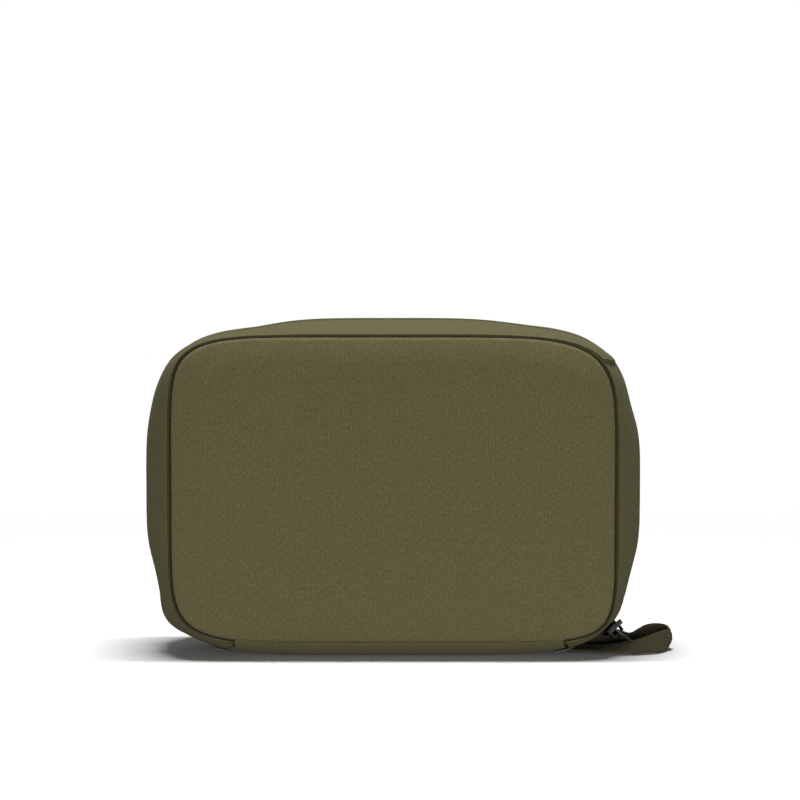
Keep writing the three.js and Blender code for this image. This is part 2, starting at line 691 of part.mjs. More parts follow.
// The elastic edge sits on top of the mesh and follows its mouth.
function mouthEdge(name, pocket, faceY, facing) {
  const columns = 16;
  const sheet = (lift) =>
    [0, 6].map((rise) =>
      Array.from({ length: columns + 1 }, (_, j) => {
        const u = (2 * j) / columns - 1;
        const y = faceY + facing * (GAP + pocket.stand * (1 - Math.abs(u) ** 6) + lift);
        return new THREE.Vector3(u * pocket.halfWidth, y, pocket.top + GAP + rise);
      }),
    );
  add(name, slab(sheet(pocket.thick + 0.5), sheet(-0.2)), ELASTIC);
}
mouthEdge("rear_pocket_elastic", REAR_POCKET, LINING_EDGE_Y, FRONT);
mouthEdge("divider_pocket_elastic", DIVIDER_POCKET, -DIVIDER.thickness / 2, FRONT);

const REAR_LOOP = { half: 14, foot: 3, rise: 8, height: 18 };
const REAR_LOOP_COUNT = 5;
const rearLoopX = (i) => (i - (REAR_LOOP_COUNT - 1) / 2) * 33;
for (let i = 0; i < REAR_LOOP_COUNT; i++) {
  cableLoop(`rear_cable_loop_${i + 1}`, rearLoopX(i), 116, LINING_EDGE_Y, FRONT, REAR_LOOP);
}

export default pouch;
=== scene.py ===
"""Looks of the cable organizer pouch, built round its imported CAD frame.

Sizes are in millimetres and are turned to metres when a mesh is made.
The front faces -Y, the base rests on z = 0, and +X is to the right.
"""

import logging
import math
from dataclasses import dataclass, field
from enum import Enum
from typing import Callable, ClassVar, Sequence

import bmesh
import bpy
import numpy as np
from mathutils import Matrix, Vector, noise


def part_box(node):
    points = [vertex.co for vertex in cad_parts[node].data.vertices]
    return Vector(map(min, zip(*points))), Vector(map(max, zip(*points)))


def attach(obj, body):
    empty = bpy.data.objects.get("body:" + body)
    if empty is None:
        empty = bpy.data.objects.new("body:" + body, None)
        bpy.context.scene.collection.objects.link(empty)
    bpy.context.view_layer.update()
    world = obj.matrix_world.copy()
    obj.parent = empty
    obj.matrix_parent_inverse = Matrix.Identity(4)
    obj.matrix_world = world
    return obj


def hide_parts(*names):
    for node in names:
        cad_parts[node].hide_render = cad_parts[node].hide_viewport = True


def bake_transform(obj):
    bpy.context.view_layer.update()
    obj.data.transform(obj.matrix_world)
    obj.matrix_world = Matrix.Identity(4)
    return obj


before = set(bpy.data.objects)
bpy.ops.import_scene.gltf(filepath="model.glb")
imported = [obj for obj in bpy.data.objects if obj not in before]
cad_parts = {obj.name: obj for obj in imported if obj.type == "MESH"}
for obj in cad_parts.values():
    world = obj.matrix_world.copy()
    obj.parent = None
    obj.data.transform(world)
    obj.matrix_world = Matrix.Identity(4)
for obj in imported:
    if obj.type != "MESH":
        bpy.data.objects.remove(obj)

LOG = logging.getLogger("pouch")
MM = 0.001
Array = np.ndarray
Colour = tuple[int, int, int]
Inputs = dict[str | int, object]


class Side(Enum):
    """The two halves of the clamshell, by the sign of their depth."""

    FRONT = -1
    REAR = 1

    @property
    def body(self) -> str:
        """The CAD body that this half belongs to."""
        return "lid" if self is Side.FRONT else "rear_shell"

    @property
    def prefix(self) -> str:
        """The first word of this half's piece names."""
        return self.name.lower()


# ---- numbers ------------------------------------------------------------------------------------
def mix(a: Array | float, b: Array | float, share: Array | float) -> Array | float:
    """Gives the value that lies share of the way from a to b."""
    return a + (b - a) * share


def ease(value: Array | float, low: float, high: float) -> Array | float:
    """Rises smoothly from 0 at low to 1 at high."""
    t = np.clip((np.asarray(value, float) - low) / (high - low), 0, 1)
    return t * t * (3 - 2 * t)


def spread(columns: int, rows: int) -> tuple[Array, Array, Array]:
    """Gives a grid from -1 to 1 both ways, and each point's share of the way to its edge."""
    u, v = np.meshgrid(np.linspace(-1, 1, columns + 1), np.linspace(-1, 1, rows + 1))
    return u, v, np.maximum(np.abs(u), np.abs(v))


def dome(height: float) -> Callable[[Array], Array]:
    """Gives an even swell of a height, by share of the way to the edge."""
    return lambda share: height * (1 - share**4)


def unit(vectors: Array) -> Array:
    """Scales vectors to length 1 along the last axis."""
    return vectors / np.maximum(np.linalg.norm(vectors, axis=-1, keepdims=True), 1e-9)


def ripple(a: Array, b: Array, seed: float) -> Array:
    """Gives smooth noise from -1 to 1.

    Args:
        a: First coordinates, in units of one feature.
        b: Second coordinates, of a shape that fits a's.
        seed: A third coordinate that tells one use from another.

    Returns:
        The noise at each pair, in the joint shape of a and b.
    """
    a, b = np.broadcast_arrays(np.asarray(a, float), np.asarray(b, float))
    flat = [noise.noise(Vector((x, y, seed))) for x, y in zip(a.ravel(), b.ravel())]
    return np.array(flat).reshape(a.shape)


def resample(points: Array, count: int, closed: bool = False) -> Array:
    """Spaces points evenly along the line they make.

    Args:
        points: The line's points, N by 3.
        count: How many points to give back.
        closed: Whether the line comes back to its first point.

    Returns:
        count points along the line; a closed line doesn't repeat its first.
    """
    line = np.vstack([points, points[:1]]) if closed else points
    run = np.concatenate([[0], np.cumsum(np.linalg.norm(np.diff(line, axis=0), axis=1))])
    at = np.linspace(0, run[-1], count, endpoint=not closed)
    return np.stack([np.interp(at, run, line[:, k]) for k in range(3)], -1)


def smooth_line(points: Sequence[Sequence[float]], per_span: int) -> Array:
    """Runs a Catmull-Rom spline through points.

    Args:
        points: The points.
        per_span: Steps from each point to the next.

    Returns:
        Points along the spline.
    """
    p = np.asarray(points, float)
    p = np.vstack([2 * p[0] - p[1], p, 2 * p[-1] - p[-2]])
    t = np.linspace(0, 1, per_span, endpoint=False)[:, None]
    spans = []
    for a, b, c, d in zip(p, p[1:], p[2:], p[3:]):
        cubic = (3 * b - a - 3 * c + d) * t**3
        spans.append(0.5 * (2 * b + (c - a) * t + (2 * a - 5 * b + 4 * c - d) * t**2 + cubic))
    return np.vstack([*spans, p[-2:-1]])


# ---- meshes -------------------------------------------------------------------------------------
class Stock:
    """Gathers grids, sweeps and stamped shapes, in millimetres, into one mesh."""

    def __init__(self) -> None:
        """Starts empty."""
        self.points: list[Array] = []
        self.faces: list[list[int]] = []
        self.corners: list[Array] = []
        self.count = 0

    def add(self, points: Array) -> int:
        """Keeps points and gives the number of the first."""
        first = self.count
        self.points.append(points.reshape(-1, 3))
        self.count += self.points[-1].shape[0]
        return first

    def face(self, face: Sequence[int], corners: Array) -> None:
        """Keeps one face with its corners' places on the cloth."""
        self.faces.append([int(i) for i in face])
        self.corners.append(np.asarray(corners, float).reshape(-1, 2))

    @staticmethod
    def _run(points: Array, axis: int, wrap: bool) -> Array:
        """Gives each row's mean distance along one axis of a grid, in metres."""
        line = np.concatenate([points, np.take(points, [0], axis)], axis) if wrap else points
        steps = np.linalg.norm(np.diff(line, axis=axis), axis=-1).mean(axis=1 - axis)
        return np.concatenate([[0.0], np.cumsum(steps)]) * MM

    def grid(
        self,
        points: Array,
        wrap_rows: bool = False,
        wrap_columns: bool = False,
        flat: Array | None = None,
    ) -> int:
        """Adds a grid of four-sided faces.

        Args:
            points: Rows by columns by 3.
            wrap_rows: Whether the last row meets the first.
            wrap_columns: Whether the last column meets the first.
            flat: Each point's place on the flat cloth in metres; by default its distance along the grid.

        Returns:
            The number of the grid's first point.
        """
        rows, columns = points.shape[:2]
        first = self.add(points)
        if flat is None:
            along = self._run(points, 0, wrap_rows)
            across = self._run(points, 1, wrap_columns)
            flat = np.stack(np.meshgrid(across, along), -1)
        for i in range(rows if wrap_rows else rows - 1):
            for j in range(columns if wrap_columns else columns - 1):
                ring = ((i, j), (i, j + 1), (i + 1, j + 1), (i + 1, j))
                face = [first + (a % rows) * columns + b % columns for a, b in ring]
                self.face(face, [flat[a, b] for a, b in ring])
        return first

    def band(self, loop: Array, rim: Array, ring: Array) -> Array:
        """Joins a closed row of points to a new one outside it, their cloth lying in the X Z plane.

        Args:
            loop: The numbers of the row's points.
            rim: The row's points.
            ring: The new row's points.

        Returns:
            The numbers of the new points.
        """
        after = self.add(ring) + np.arange(len(ring))
        for k, m in zip(range(len(ring)), np.roll(range(len(ring)), -1)):
            corners = [p[[0, 2]] * MM for p in (rim[k], rim[m], ring[m], ring[k])]
            self.face((loop[k], loop[m], after[m], after[k]), corners)
        return after

    def sweep(self, sections: Array, ring: bool = False) -> "Stock":
        """Joins closed sections into a solid.

        Args:
            sections: Stations by points by 3.
            ring: Whether the last section meets the first; otherwise the ends are capped.

        Returns:
            The stock.
        """
        stations, size = sections.shape[:2]
        first = self.grid(sections, wrap_rows=ring, wrap_columns=True)
        if not ring:
            for start, step in ((first, 1), (first + (stations - 1) * size, -1)):
                face = [start + k for k in range(size)][::step]
                self.face(face, np.zeros((size, 2)))
        return self

    def hoop(self, rings: Sequence[Array]) -> "Stock":
        """Joins rings, which go once round a section, into a closed hoop."""
        return self.sweep(np.stack(rings, 1), ring=True)

    def slab(self, outer: Array, inner: Array, flat: Array | None = None) -> "Stock":
        """Joins two grids of one shape into a closed sheet.

        Args:
            outer: The grid on one face.
            inner: The grid on the other.
            flat: Each point's place on the flat cloth in metres, as grid takes it.

        Returns:
            The stock.
        """
        rows, columns = outer.shape[:2]
        a = self.grid(outer, flat=flat)
        b = self.grid(inner, flat=flat)
        edge = [(0, j) for j in range(columns)] + [(i, columns - 1) for i in range(1, rows)]
        edge += [(rows - 1, j) for j in range(columns - 2, -1, -1)]
        edge += [(i, 0) for i in range(rows - 2, 0, -1)]
        for (i, j), (k, m) in zip(edge, edge[1:] + edge[:1]):
            p, q = i * columns + j, k * columns + m
            self.face((a + p, a + q, b + q, b + p), np.zeros((4, 2)))
        return self

    def stamp(self, origin: Array, along: Array, up: Array, size: Sequence[float]) -> "Stock":
        """Puts one small rounded six-sided bar at each place.

        Args:
            origin: The bars' middles, N by 3.
            along: The directions of their length.
            up: The directions that they stand up in.
            size: Length, width and height.

        Returns:
            The stock.
        """
        along = unit(np.broadcast_to(along, origin.shape))
        side = unit(np.cross(np.broadcast_to(up, origin.shape), along))
        top = np.cross(along, side)
        turn = np.linspace(0, 2 * math.pi, 6, endpoint=False)
        length, width, height = size
        for o, a, s, t in zip(origin, along, side, top):
            rings = []
            for x, r in ((-0.5, 0.45), (-0.38, 0.9), (0.0, 1.0), (0.38, 0.9), (0.5, 0.45)):
                sideways = np.outer(np.cos(turn) * width * r / 2, s)
                rings.append(o + a * (length * x) + sideways + np.outer(np.sin(turn) * height * r / 2, t))
            self.sweep(np.array(rings))
        return self

    def finish(self, name: str, levels: int = 0) -> bpy.types.Object:
        """Makes the object.

        Args:
            name: The piece's name.
            levels: Subdivision levels.

        Returns:
            The object, linked to the scene and lying in the row's frame.
        """
        mesh = bpy.data.meshes.new(name)
        mesh.from_pydata((np.vstack(self.points) * MM).tolist(), [], self.faces)
        layer = mesh.uv_layers.new(name="cloth")
        layer.data.foreach_set("uv", np.vstack(self.corners).astype(np.float32).ravel())
        shape = bmesh.new()
        shape.from_mesh(mesh)
        bmesh.ops.recalc_face_normals(shape, faces=shape.faces)
        for f in shape.faces:
            f.smooth = True
        shape.to_mesh(mesh)
        shape.free()
        piece = bpy.data.objects.new(name, mesh)
        bpy.context.scene.collection.objects.link(piece)
        if levels:
            subdivision = piece.modifiers.new("soften", "SUBSURF")
            subdivision.levels = subdivision.render_levels = levels
        return piece


def settle(piece: bpy.types.Object) -> bpy.types.Object:
    """Applies a piece's modifiers to its mesh."""
    graph = bpy.context.evaluated_depsgraph_get()
    made = bpy.data.meshes.new_from_object(piece.evaluated_get(graph))
    piece.modifiers.clear()
    piece.data = made
    return piece


# ---- shader groups ------------------------------------------------------------------------------
class Graph:
    """Short calls for making nodes in one tree."""

    def __init__(self, tree: bpy.types.NodeTree) -> None:
        """Keeps the tree."""
        self.tree = tree

    def feed(self, node: bpy.types.Node, inputs: Inputs) -> bpy.types.Node:
        """Sets or links a node's inputs.

        Args:
            node: The node.
            inputs: Values, or sockets to link.

        Returns:
            The node.
        """
        for key, value in inputs.items():
            if isinstance(value, bpy.types.NodeSocket):
                self.tree.links.new(value, node.inputs[key])
            else:
                node.inputs[key].default_value = value
        return node

    def node(self, kind: str, inputs: Inputs | None = None, **settings: object) -> bpy.types.Node:
        """Adds a node.

        Args:
            kind: Blender's name for the node's type.
            inputs: Its inputs' values, or sockets to link to them.
            settings: Its own settings.

        Returns:
            The node.
        """
        made = self.tree.nodes.new(kind)
        for key, value in settings.items():
            setattr(made, key, value)
        return self.feed(made, inputs or {})

    def math(self, operation: str, *values: object) -> bpy.types.NodeSocket:
        """Adds a Math node and gives its result."""
        return self.node("ShaderNodeMath", dict(enumerate(values)), operation=operation).outputs[0]

    def noise(self, vector: object, scale: object, detail: float = 2.0) -> bpy.types.NodeSocket:
        """Adds 3D noise and gives its value."""
        inputs = {"Vector": vector, "Scale": scale, "Detail": detail}
        return self.node("ShaderNodeTexNoise", inputs).outputs["Fac"]

    def blend(self, factor: object, a: object, b: object) -> bpy.types.NodeSocket:
        """Mixes two colours."""
        return self.node("ShaderNodeMix", {0: factor, 6: a, 7: b}, data_type="RGBA").outputs[2]

    def stretch(self, value: object, low: float, high: float) -> bpy.types.NodeSocket:
        """Gives 0 where a value is low and 1 where it is high, evenly between."""
        limits = {"Value": value, "From Min": low, "From Max": high}
        return self.node("ShaderNodeMapRange", limits).outputs[0]


class Groups:
    """The shader groups that the finishes share, each made once."""

    made: ClassVar[dict[str, bpy.types.ShaderNodeTree]] = {}

    @classmethod
    def _start(cls, name: str, inputs: Sequence[tuple[str, str]], outputs: Sequence[str]) -> Graph:
        """Makes an empty group with its sockets."""
        tree = bpy.data.node_groups.new(name, "ShaderNodeTree")
        for label, kind in inputs:
            tree.interface.new_socket(name=label, in_out="INPUT", socket_type=kind)
        for label in outputs:
            tree.interface.new_socket(name=label, in_out="OUTPUT", socket_type="NodeSocketFloat")
        cls.made[name] = tree
        return Graph(tree)

    @classmethod
    def weave(cls) -> bpy.types.ShaderNodeTree:
        """Threads that cross: ribs along the cloth's length with picks over them."""
        if "cloth weave" in cls.made:
            return cls.made["cloth weave"]
        floats = ("Rib", "Pick", "Rib share", "Slub")
        sockets = [("Vector", "NodeSocketVector")] + [(f, "NodeSocketFloat") for f in floats]
        g = cls._start("cloth weave", sockets, ("Height", "Shade"))
        given = g.node("NodeGroupInput").outputs
        place = g.node("ShaderNodeSeparateXYZ", {0: given["Vector"]}).outputs
        slow = g.noise(given["Vector"], 90.0)
        drift = g.math("MULTIPLY", g.math("SUBTRACT", slow, 0.5), given["Slub"])
        across = g.math("ADD", g.math("DIVIDE", place["X"], given["Rib"]), drift)
        along = g.math("ADD", g.math("DIVIDE", place["Y"], given["Pick"]), drift)
        odd = g.math("MULTIPLY", g.math("FLOOR", across), 0.5)
        rib = g.math("ABSOLUTE", g.math("SINE", g.math("MULTIPLY", across, math.pi)))
        pick = g.math("ABSOLUTE", g.math("SINE", g.math("MULTIPLY", g.math("ADD", along, odd), math.pi)))
        both = g.math("MULTIPLY", rib, g.math("ADD", g.math("MULTIPLY", pick, 0.6), 0.4))
        share = given["Rib share"]
        plain = g.math("MULTIPLY", both, g.math("SUBTRACT", 1.0, share))
        height = g.math("ADD", g.math("MULTIPLY", rib, share), plain)
        drawn_out = {0: given["Vector"], 1: (1.0, 0.4, 1.0)}
        drawn = g.node("ShaderNodeVectorMath", drawn_out, operation="MULTIPLY").outputs[0]
        fleck = g.stretch(g.noise(drawn, 1500.0), 0.3, 0.7)
        shade = g.math("ADD", g.math("MULTIPLY", height, 0.4), g.math("MULTIPLY", fleck, 0.6))
        g.node("NodeGroupOutput", {"Height": height, "Shade": shade})
        return g.tree

    @classmethod
    def handling(cls) -> bpy.types.ShaderNodeTree:
        """Broad uneven tone, and dust that gathers in patches."""
        if "handling" in cls.made:
            return cls.made["handling"]
        sockets = [("Vector", "NodeSocketVector")] + [(f, "NodeSocketFloat") for f in ("Patch", "Dust")]
        g = cls._start("handling", sockets, ("Tone", "Dust"))
        given = g.node("NodeGroupInput").outputs
        broad = g.noise(given["Vector"], given["Patch"], 3.0)
        speck = g.stretch(g.noise(given["Vector"], 620.0, 4.0), 0.62, 0.8)
        dust = g.math("MULTIPLY", g.math("MULTIPLY", speck, g.noise(given["Vector"], 26.0)), given["Dust"])
        g.node("NodeGroupOutput", {"Tone": broad, "Dust": dust})
        return g.tree


MADE: dict[str, bpy.types.Material] = {}
DUST_COLOUR = (176, 170, 150)


def blank(name: str) -> tuple[Graph, bpy.types.Node]:
    """Starts a material, and gives its graph and its shader."""
    made = MADE[name] = bpy.data.materials.new(name)
    made.use_nodes = True
    return Graph(made.node_tree), made.node_tree.nodes["Principled BSDF"]


def linear(colour: Colour, strength: float = 1.0) -> tuple[float, float, float, float]:
    """Turns a screen colour, 0 to 255, into a shader's linear one."""
    parts = [c / 255 for c in colour]
    line = [p / 12.92 if p <= 0.04045 else ((p + 0.055) / 1.055) ** 2.4 for p in parts]
    return (line[0] * strength, line[1] * strength, line[2] * strength, 1.0)


@dataclass(frozen=True)
class Cloth:
    """A woven finish: its colours, its threads and how it takes light."""

    name: str
    slot: str
    colour: Colour
    rib: float = 0.9  # mm from rib to rib
    pick: float = 0.7  # mm from pick to pick
    rib_share: float = 0.3  # 1 is ribs alone, 0 a plain weave
    slub: float = 0.6
    relief: float = 0.12  # mm
    contrast: float = 0.2
    roughness: float = 0.85
    sheen: float = 0.15
    dust: float = 0.25
    patch: float = 14.0
    on_object: bool = False  # takes its place from the object instead of the cloth's flat lie

    def material(self) -> bpy.types.Material:
        """Makes the material, or gives the one already made."""
        if self.name in MADE:
            return MADE[self.name]
        g, shader = blank(self.name)
        given = g.node("ShaderNodeTexCoord").outputs
        threads = {
            "Vector": given["Object" if self.on_object else "UV"],
            "Rib": self.rib * MM,
            "Pick": self.pick * MM,
            "Rib share": self.rib_share,
            "Slub": self.slub,
        }
        weave = g.node("ShaderNodeGroup", threads, node_tree=Groups.weave()).outputs
        use = {"Vector": given["Object"], "Patch": self.patch, "Dust": self.dust}
        handling = g.node("ShaderNodeGroup", use, node_tree=Groups.handling()).outputs
        light, dark = linear(self.colour, 1 + self.contrast), linear(self.colour, 1 - self.contrast)
        thread = g.blend(weave["Shade"], dark, light)
        worn = g.blend(g.math("MULTIPLY", handling["Tone"], 0.24), thread, linear(self.colour, 1.25))
        rough = g.math("ADD", g.math("MULTIPLY", handling["Tone"], 0.1), self.roughness - 0.05)
        bump = {"Height": weave["Height"], "Distance": self.relief * MM, "Strength": 1.0}
        look = {
            "Base Color": g.blend(handling["Dust"], worn, linear(DUST_COLOUR)),
            "Roughness": rough,
            "Sheen Weight": self.sheen,
            "Sheen Roughness": 0.5,
            "Specular IOR Level": 0.16,
            "Normal": g.node("ShaderNodeBump", bump).outputs[0],
        }
        g.feed(shader, look)
        return MADE[self.name]


@dataclass(frozen=True)
class Hard:
    """A metal or moulded finish with brushed grain and worn high spots."""

    name: str
    slot: str
    colour: Colour
    worn: Colour
    metallic: float = 0.0
    roughness: float = 0.4
    grain: float = 900.0
    relief: float = 0.02

    def material(self) -> bpy.types.Material:
        """Makes the material, or gives the one already made."""
        if self.name in MADE:
            return MADE[self.name]
        g, shader = blank(self.name)
        place = g.node("ShaderNodeTexCoord").outputs["Object"]
        use = {"Vector": place, "Patch": 160.0, "Dust": 0.2}
        tone = g.node("ShaderNodeGroup", use, node_tree=Groups.handling()).outputs["Tone"]
        grain = g.noise(place, self.grain, 3.0)
        rubbed = g.math("MULTIPLY", g.stretch(tone, 0.45, 0.7), grain)
        bump = {"Height": grain, "Distance": self.relief * MM, "Strength": 0.6}
        look = {
            "Base Color": g.blend(rubbed, linear(self.colour), linear(self.worn)),
            "Roughness": g.math("ADD", g.math("MULTIPLY", grain, 0.2), self.roughness - 0.1),
            "Metallic": self.metallic,
            "Normal": g.node("ShaderNodeBump", bump).outputs[0],
        }
        g.feed(shader, look)
        return MADE[self.name]


class Finish(Enum):
    """Every finish on the pouch."""

    PANEL = Cloth(
        "panel cloth", "shell_fabric", (92, 87, 57),
        rib=1.1, pick=0.9, rib_share=0.5, slub=2.6, contrast=0.44, sheen=0.05,
    )
    GUSSET = Cloth(
        "gusset cloth", "shell_fabric", (86, 82, 52),
        rib=0.95, pick=0.8, rib_share=0.2, slub=1.5, contrast=0.3, sheen=0.04,
    )
    BASE = Cloth(
        "base cloth", "base_fabric", (84, 80, 51),
        rib=0.95, pick=0.8, rib_share=0.2, slub=1.5, sheen=0.04,
    )
    LINING = Cloth(
        "lining cloth", "lining_fabric", (142, 138, 118),
        rib=0.5, pick=0.45, relief=0.05, contrast=0.1, roughness=0.7, sheen=0.3,
    )
    BINDING = Cloth(
        "binding tape", "binding_tape", (62, 60, 44),
        rib=1.1, pick=0.4, rib_share=0.7, contrast=0.25,
    )
    # painted shade: a near-black cloth for the cord that darkens the seam groove in place of its shadow
    GROOVE_SHADE = Cloth(
        "painted groove shade", "binding_tape", (42, 40, 26),
        rib=1.1, pick=0.4, contrast=0.3, sheen=0.0, dust=0.0,
    )
    NET = Cloth("pocket net", "mesh_net", (72, 70, 50), rib=0.35, pick=0.3, relief=0.05, roughness=0.7)
    ELASTIC = Cloth(
        "elastic", "elastic", (76, 72, 50),
        rib=1.4, pick=0.5, rib_share=0.85, contrast=0.3, relief=0.2,
    )
    WEBBING = Cloth(
        "webbing", "webbing", (63, 60, 40),
        rib=1.2, pick=0.8, rib_share=0.15, contrast=0.4, relief=0.3, sheen=0.02, dust=0.1,
    )
    ZIP_TAPE = Cloth(
        "zip tape", "zip_tape", (66, 63, 42),
        rib=0.7, pick=0.5, rib_share=0.5, contrast=0.2, sheen=0.05,
    )
    THREAD = Cloth(
        "sewing thread", "binding_tape", (86, 82, 56),
        rib=0.3, pick=0.25, relief=0.05, on_object=True, dust=0.0,
    )
    COIL = Hard("nylon coil", "zip_coil", (50, 48, 36), (74, 72, 56), roughness=0.45)
    METAL = Hard("gunmetal", "slider_metal", (38, 38, 38), (96, 94, 90), metallic=1.0, roughness=0.38)
    BOARD = Hard("base board", "board", (44, 44, 42), (66, 65, 60), roughness=0.7, grain=400.0)


def refinish(node: str, finish: Finish) -> bpy.types.Object:
    """Gives a CAD node that stays in view its finish."""
    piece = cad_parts[node]
    piece.data.materials.clear()
    piece.data.materials.append(finish.value.material())
    return piece


def dress(
    piece: bpy.types.Object,
    finish: Finish,
    body: str | None = None,
    stands_for: Sequence[str] = (),
) -> bpy.types.Object:
    """Gives a piece its finish, its body, and the CAD nodes it stands for.

    Args:
        piece: The piece.
        finish: Its finish.
        body: The CAD body that it rides on, or None to leave it unattached.
        stands_for: The CAD nodes that it replaces.

    Returns:
        The piece.
    """
    piece.data.materials.clear()
    piece.data.materials.append(finish.value.material())
    if body:
        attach(piece, body)
    if stands_for:
        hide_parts(*stands_for)
    LOG.info("%s: %s, %d faces", piece.name, finish.value.name, len(piece.data.polygons))
    return piece


# ---- the pouch's form ---------------------------------------------------------------------------
@dataclass(frozen=True)
class Outline:
    """One rounded outline of the pouch, whose right and left corners may differ."""

    half_width: float
    top: float
    bottom: float
    top_powers: tuple[float, float]
    base_powers: tuple[float, float]


@dataclass(frozen=True)
class Slack:
    """A stretch of the gusset that swells less than the rest."""

    right: bool
    depth: float  # mm
    middle: float  # degrees up from the horizontal
    width: float

    def at(self, lean: Array, right: Array) -> Array:
        """Gives the lost swell at directions, by their slope and side."""
        lost = self.depth * np.exp(-(((lean - self.middle) / self.width) ** 2))
        return np.where(right == self.right, lost, 0.0)


@dataclass(frozen=True)
class PouchForm:
    """The soft body's outer surface: a panel outline at each seam, swelling to the crest between them."""

    panel: Outline
    crest: Outline
    seam_y: float = 32.0
    centre_z: float = 79.0
    side_bulge: float = 2.2
    base_bulge: float = 8.0
    base_end: float = math.radians(-55.3)
    zip_turn: float = math.radians(22.0)
    zip_end_y: float = -20.0
    base_ends: tuple[float, float] = (77.5, 83.5)  # left, right
    slacks: tuple[Slack, ...] = (
        Slack(True, 3.0, -30.4, 10.2),
        Slack(True, -0.7, -45.0, 7.0),
        Slack(True, 2.4, 28.7, 9.0),
        Slack(True, 1.3, 60.0, 9.0),
        Slack(False, 3.0, -29.6, 9.8),
        Slack(False, -2.0, -41.0, 5.5),
        Slack(False, 2.3, 56.0, 10.5),
        Slack(False, 0.8, 28.0, 9.0),
    )

    @classmethod
    def from_frame(cls) -> "PouchForm":
        """Takes the outlines' widths and heights from the CAD nodes."""
        panel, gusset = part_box("front_panel"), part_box("rear_gusset")
        edge = 0.4
        return cls(
            Outline(
                panel[1].x / MM + edge - 0.4,
                panel[1].z / MM + edge + 1.8,
                panel[0].z / MM - edge + 1.9,
                (5.8, 7.1),
                (8.2, 6.7),
            ),
            Outline(gusset[1].x / MM - 0.2, gusset[1].z / MM + 0.8, -0.8, (3.8, 3.8), (4.6, 4.6)),
        )

    def point(self, angle: Array | float, y: Array | float, inset: Array | float = 0.0) -> Array:
        """Gives points of the surface.

        Args:
            angle: Directions round the outline, 0 to the right and a quarter turn to the top.
            y: Depths.
            inset: How far inside the surface the points lie.

        Returns:
            Points, with the joint shape of the three and a last axis of 3.
        """
        angle, y, inset = np.broadcast_arrays(*(np.asarray(v, float) for v in (angle, y, inset)))
        depth = np.minimum(1, np.abs(y) / self.seam_y)
        side, base = 1 - depth**self.side_bulge, 1 - depth**self.base_bulge
        c, s = np.cos(angle), np.sin(angle)
        above, right = s >= 0, c >= 0
        lean = np.degrees(np.arctan2(s, np.abs(c)))
        sunk = inset + side * sum(slack.at(lean, right) for slack in self.slacks)
        up = mix(self.panel.top, self.crest.top, side) - self.centre_z
        down = self.centre_z - mix(self.panel.bottom, self.crest.bottom, base)
        reach = np.where(above, up, down) - sunk
        powers = [
            mix(np.where(right, *a), np.where(right, *b), swell)
            for a, b, swell in (
                (self.panel.top_powers, self.crest.top_powers, side),
                (self.panel.base_powers, self.crest.base_powers, base),
            )
        ]
        power = np.where(above, *powers)
        radius = (np.abs(c) ** power + np.abs(s) ** power) ** (-1 / power)
        half = mix(self.panel.half_width, self.crest.half_width, side) - sunk
        z = self.centre_z + reach * radius * s
        return np.stack([half * radius * c, y, np.maximum(np.maximum(inset, 0), z)], -1)

    def ruler(self, start: float, end: float) -> tuple[Array, Array]:
        """Measures along the widest outline.

        Args:
            start: The first direction.
            end: The last direction.

        Returns:
            Distances from the start, and the directions they belong to.
        """
        angles = np.linspace(start, end, 2881)
        line = self.point(angles, 0.0)
        steps = np.linalg.norm(np.diff(line, axis=0), axis=1)
        return np.concatenate([[0], np.cumsum(steps)]), angles

    def ring(self, angle: Array, inset: Array | float, y: float) -> Array:
        """Gives a ring that follows the panel's outline at a depth of its own."""
        made = self.point(angle, self.seam_y, inset)
        made[:, 1] = y
        return made

    def seam_ruler(self, count: int) -> tuple[Array, Array]:
        """Gives even distances once round the outline, and the directions they belong to."""
        run, angles = self.ruler(self.base_end, self.base_end + 2 * math.pi)
        at = np.linspace(0, run[-1], count, endpoint=False)
        return at, np.interp(at, run, angles)

    def gusset_ruler(self) -> tuple[Array, Array]:
        """Gives the ruler from the base's right end over the top to its left end."""
        return self.ruler(self.base_end, math.pi - self.base_end)

    def end_turn(self, y: Array, left: bool) -> Array:
        """Gives how far the base's end seam lies round from where the zip ends.

        Args:
            y: Depths.
            left: Whether it is the left end.

        Returns:
            The turn at each depth.
        """
        base = -math.pi - self.base_end if left else self.base_end
        table = base + np.linspace(-0.25, 0.25, 101)
        target = self.base_ends[0 if left else 1]
        turns = []
        for depth in np.abs(np.asarray(y, float)).ravel():
            x = np.abs(self.point(table, depth)[:, 0])
            order = np.argsort(x)
            turns.append(float(np.interp(target, x[order], table[order])) - base)
        return np.array(turns).reshape(np.shape(y))

    def zip_y(self, angle: Array | float) -> Array | float:
        """Gives the zip's depth: the middle, then forward under the two lower corners."""
        angle = np.asarray(angle, float)
        lean = np.where(angle > math.pi / 2, math.pi - angle, angle)
        return self.zip_end_y * ease(-lean, self.zip_turn, -self.base_end)

    def outward(self, angle: Array, y: Array | float) -> Array:
        """Gives the directions that point out of the surface."""
        lift = unit(self.point(angle, y, -0.5) - self.point(angle, y, 0.5))
        run = unit(self.point(np.asarray(angle) + 0.002, y) - self.point(np.asarray(angle) - 0.002, y))
        return unit(lift - run * (lift * run).sum(-1, keepdims=True))

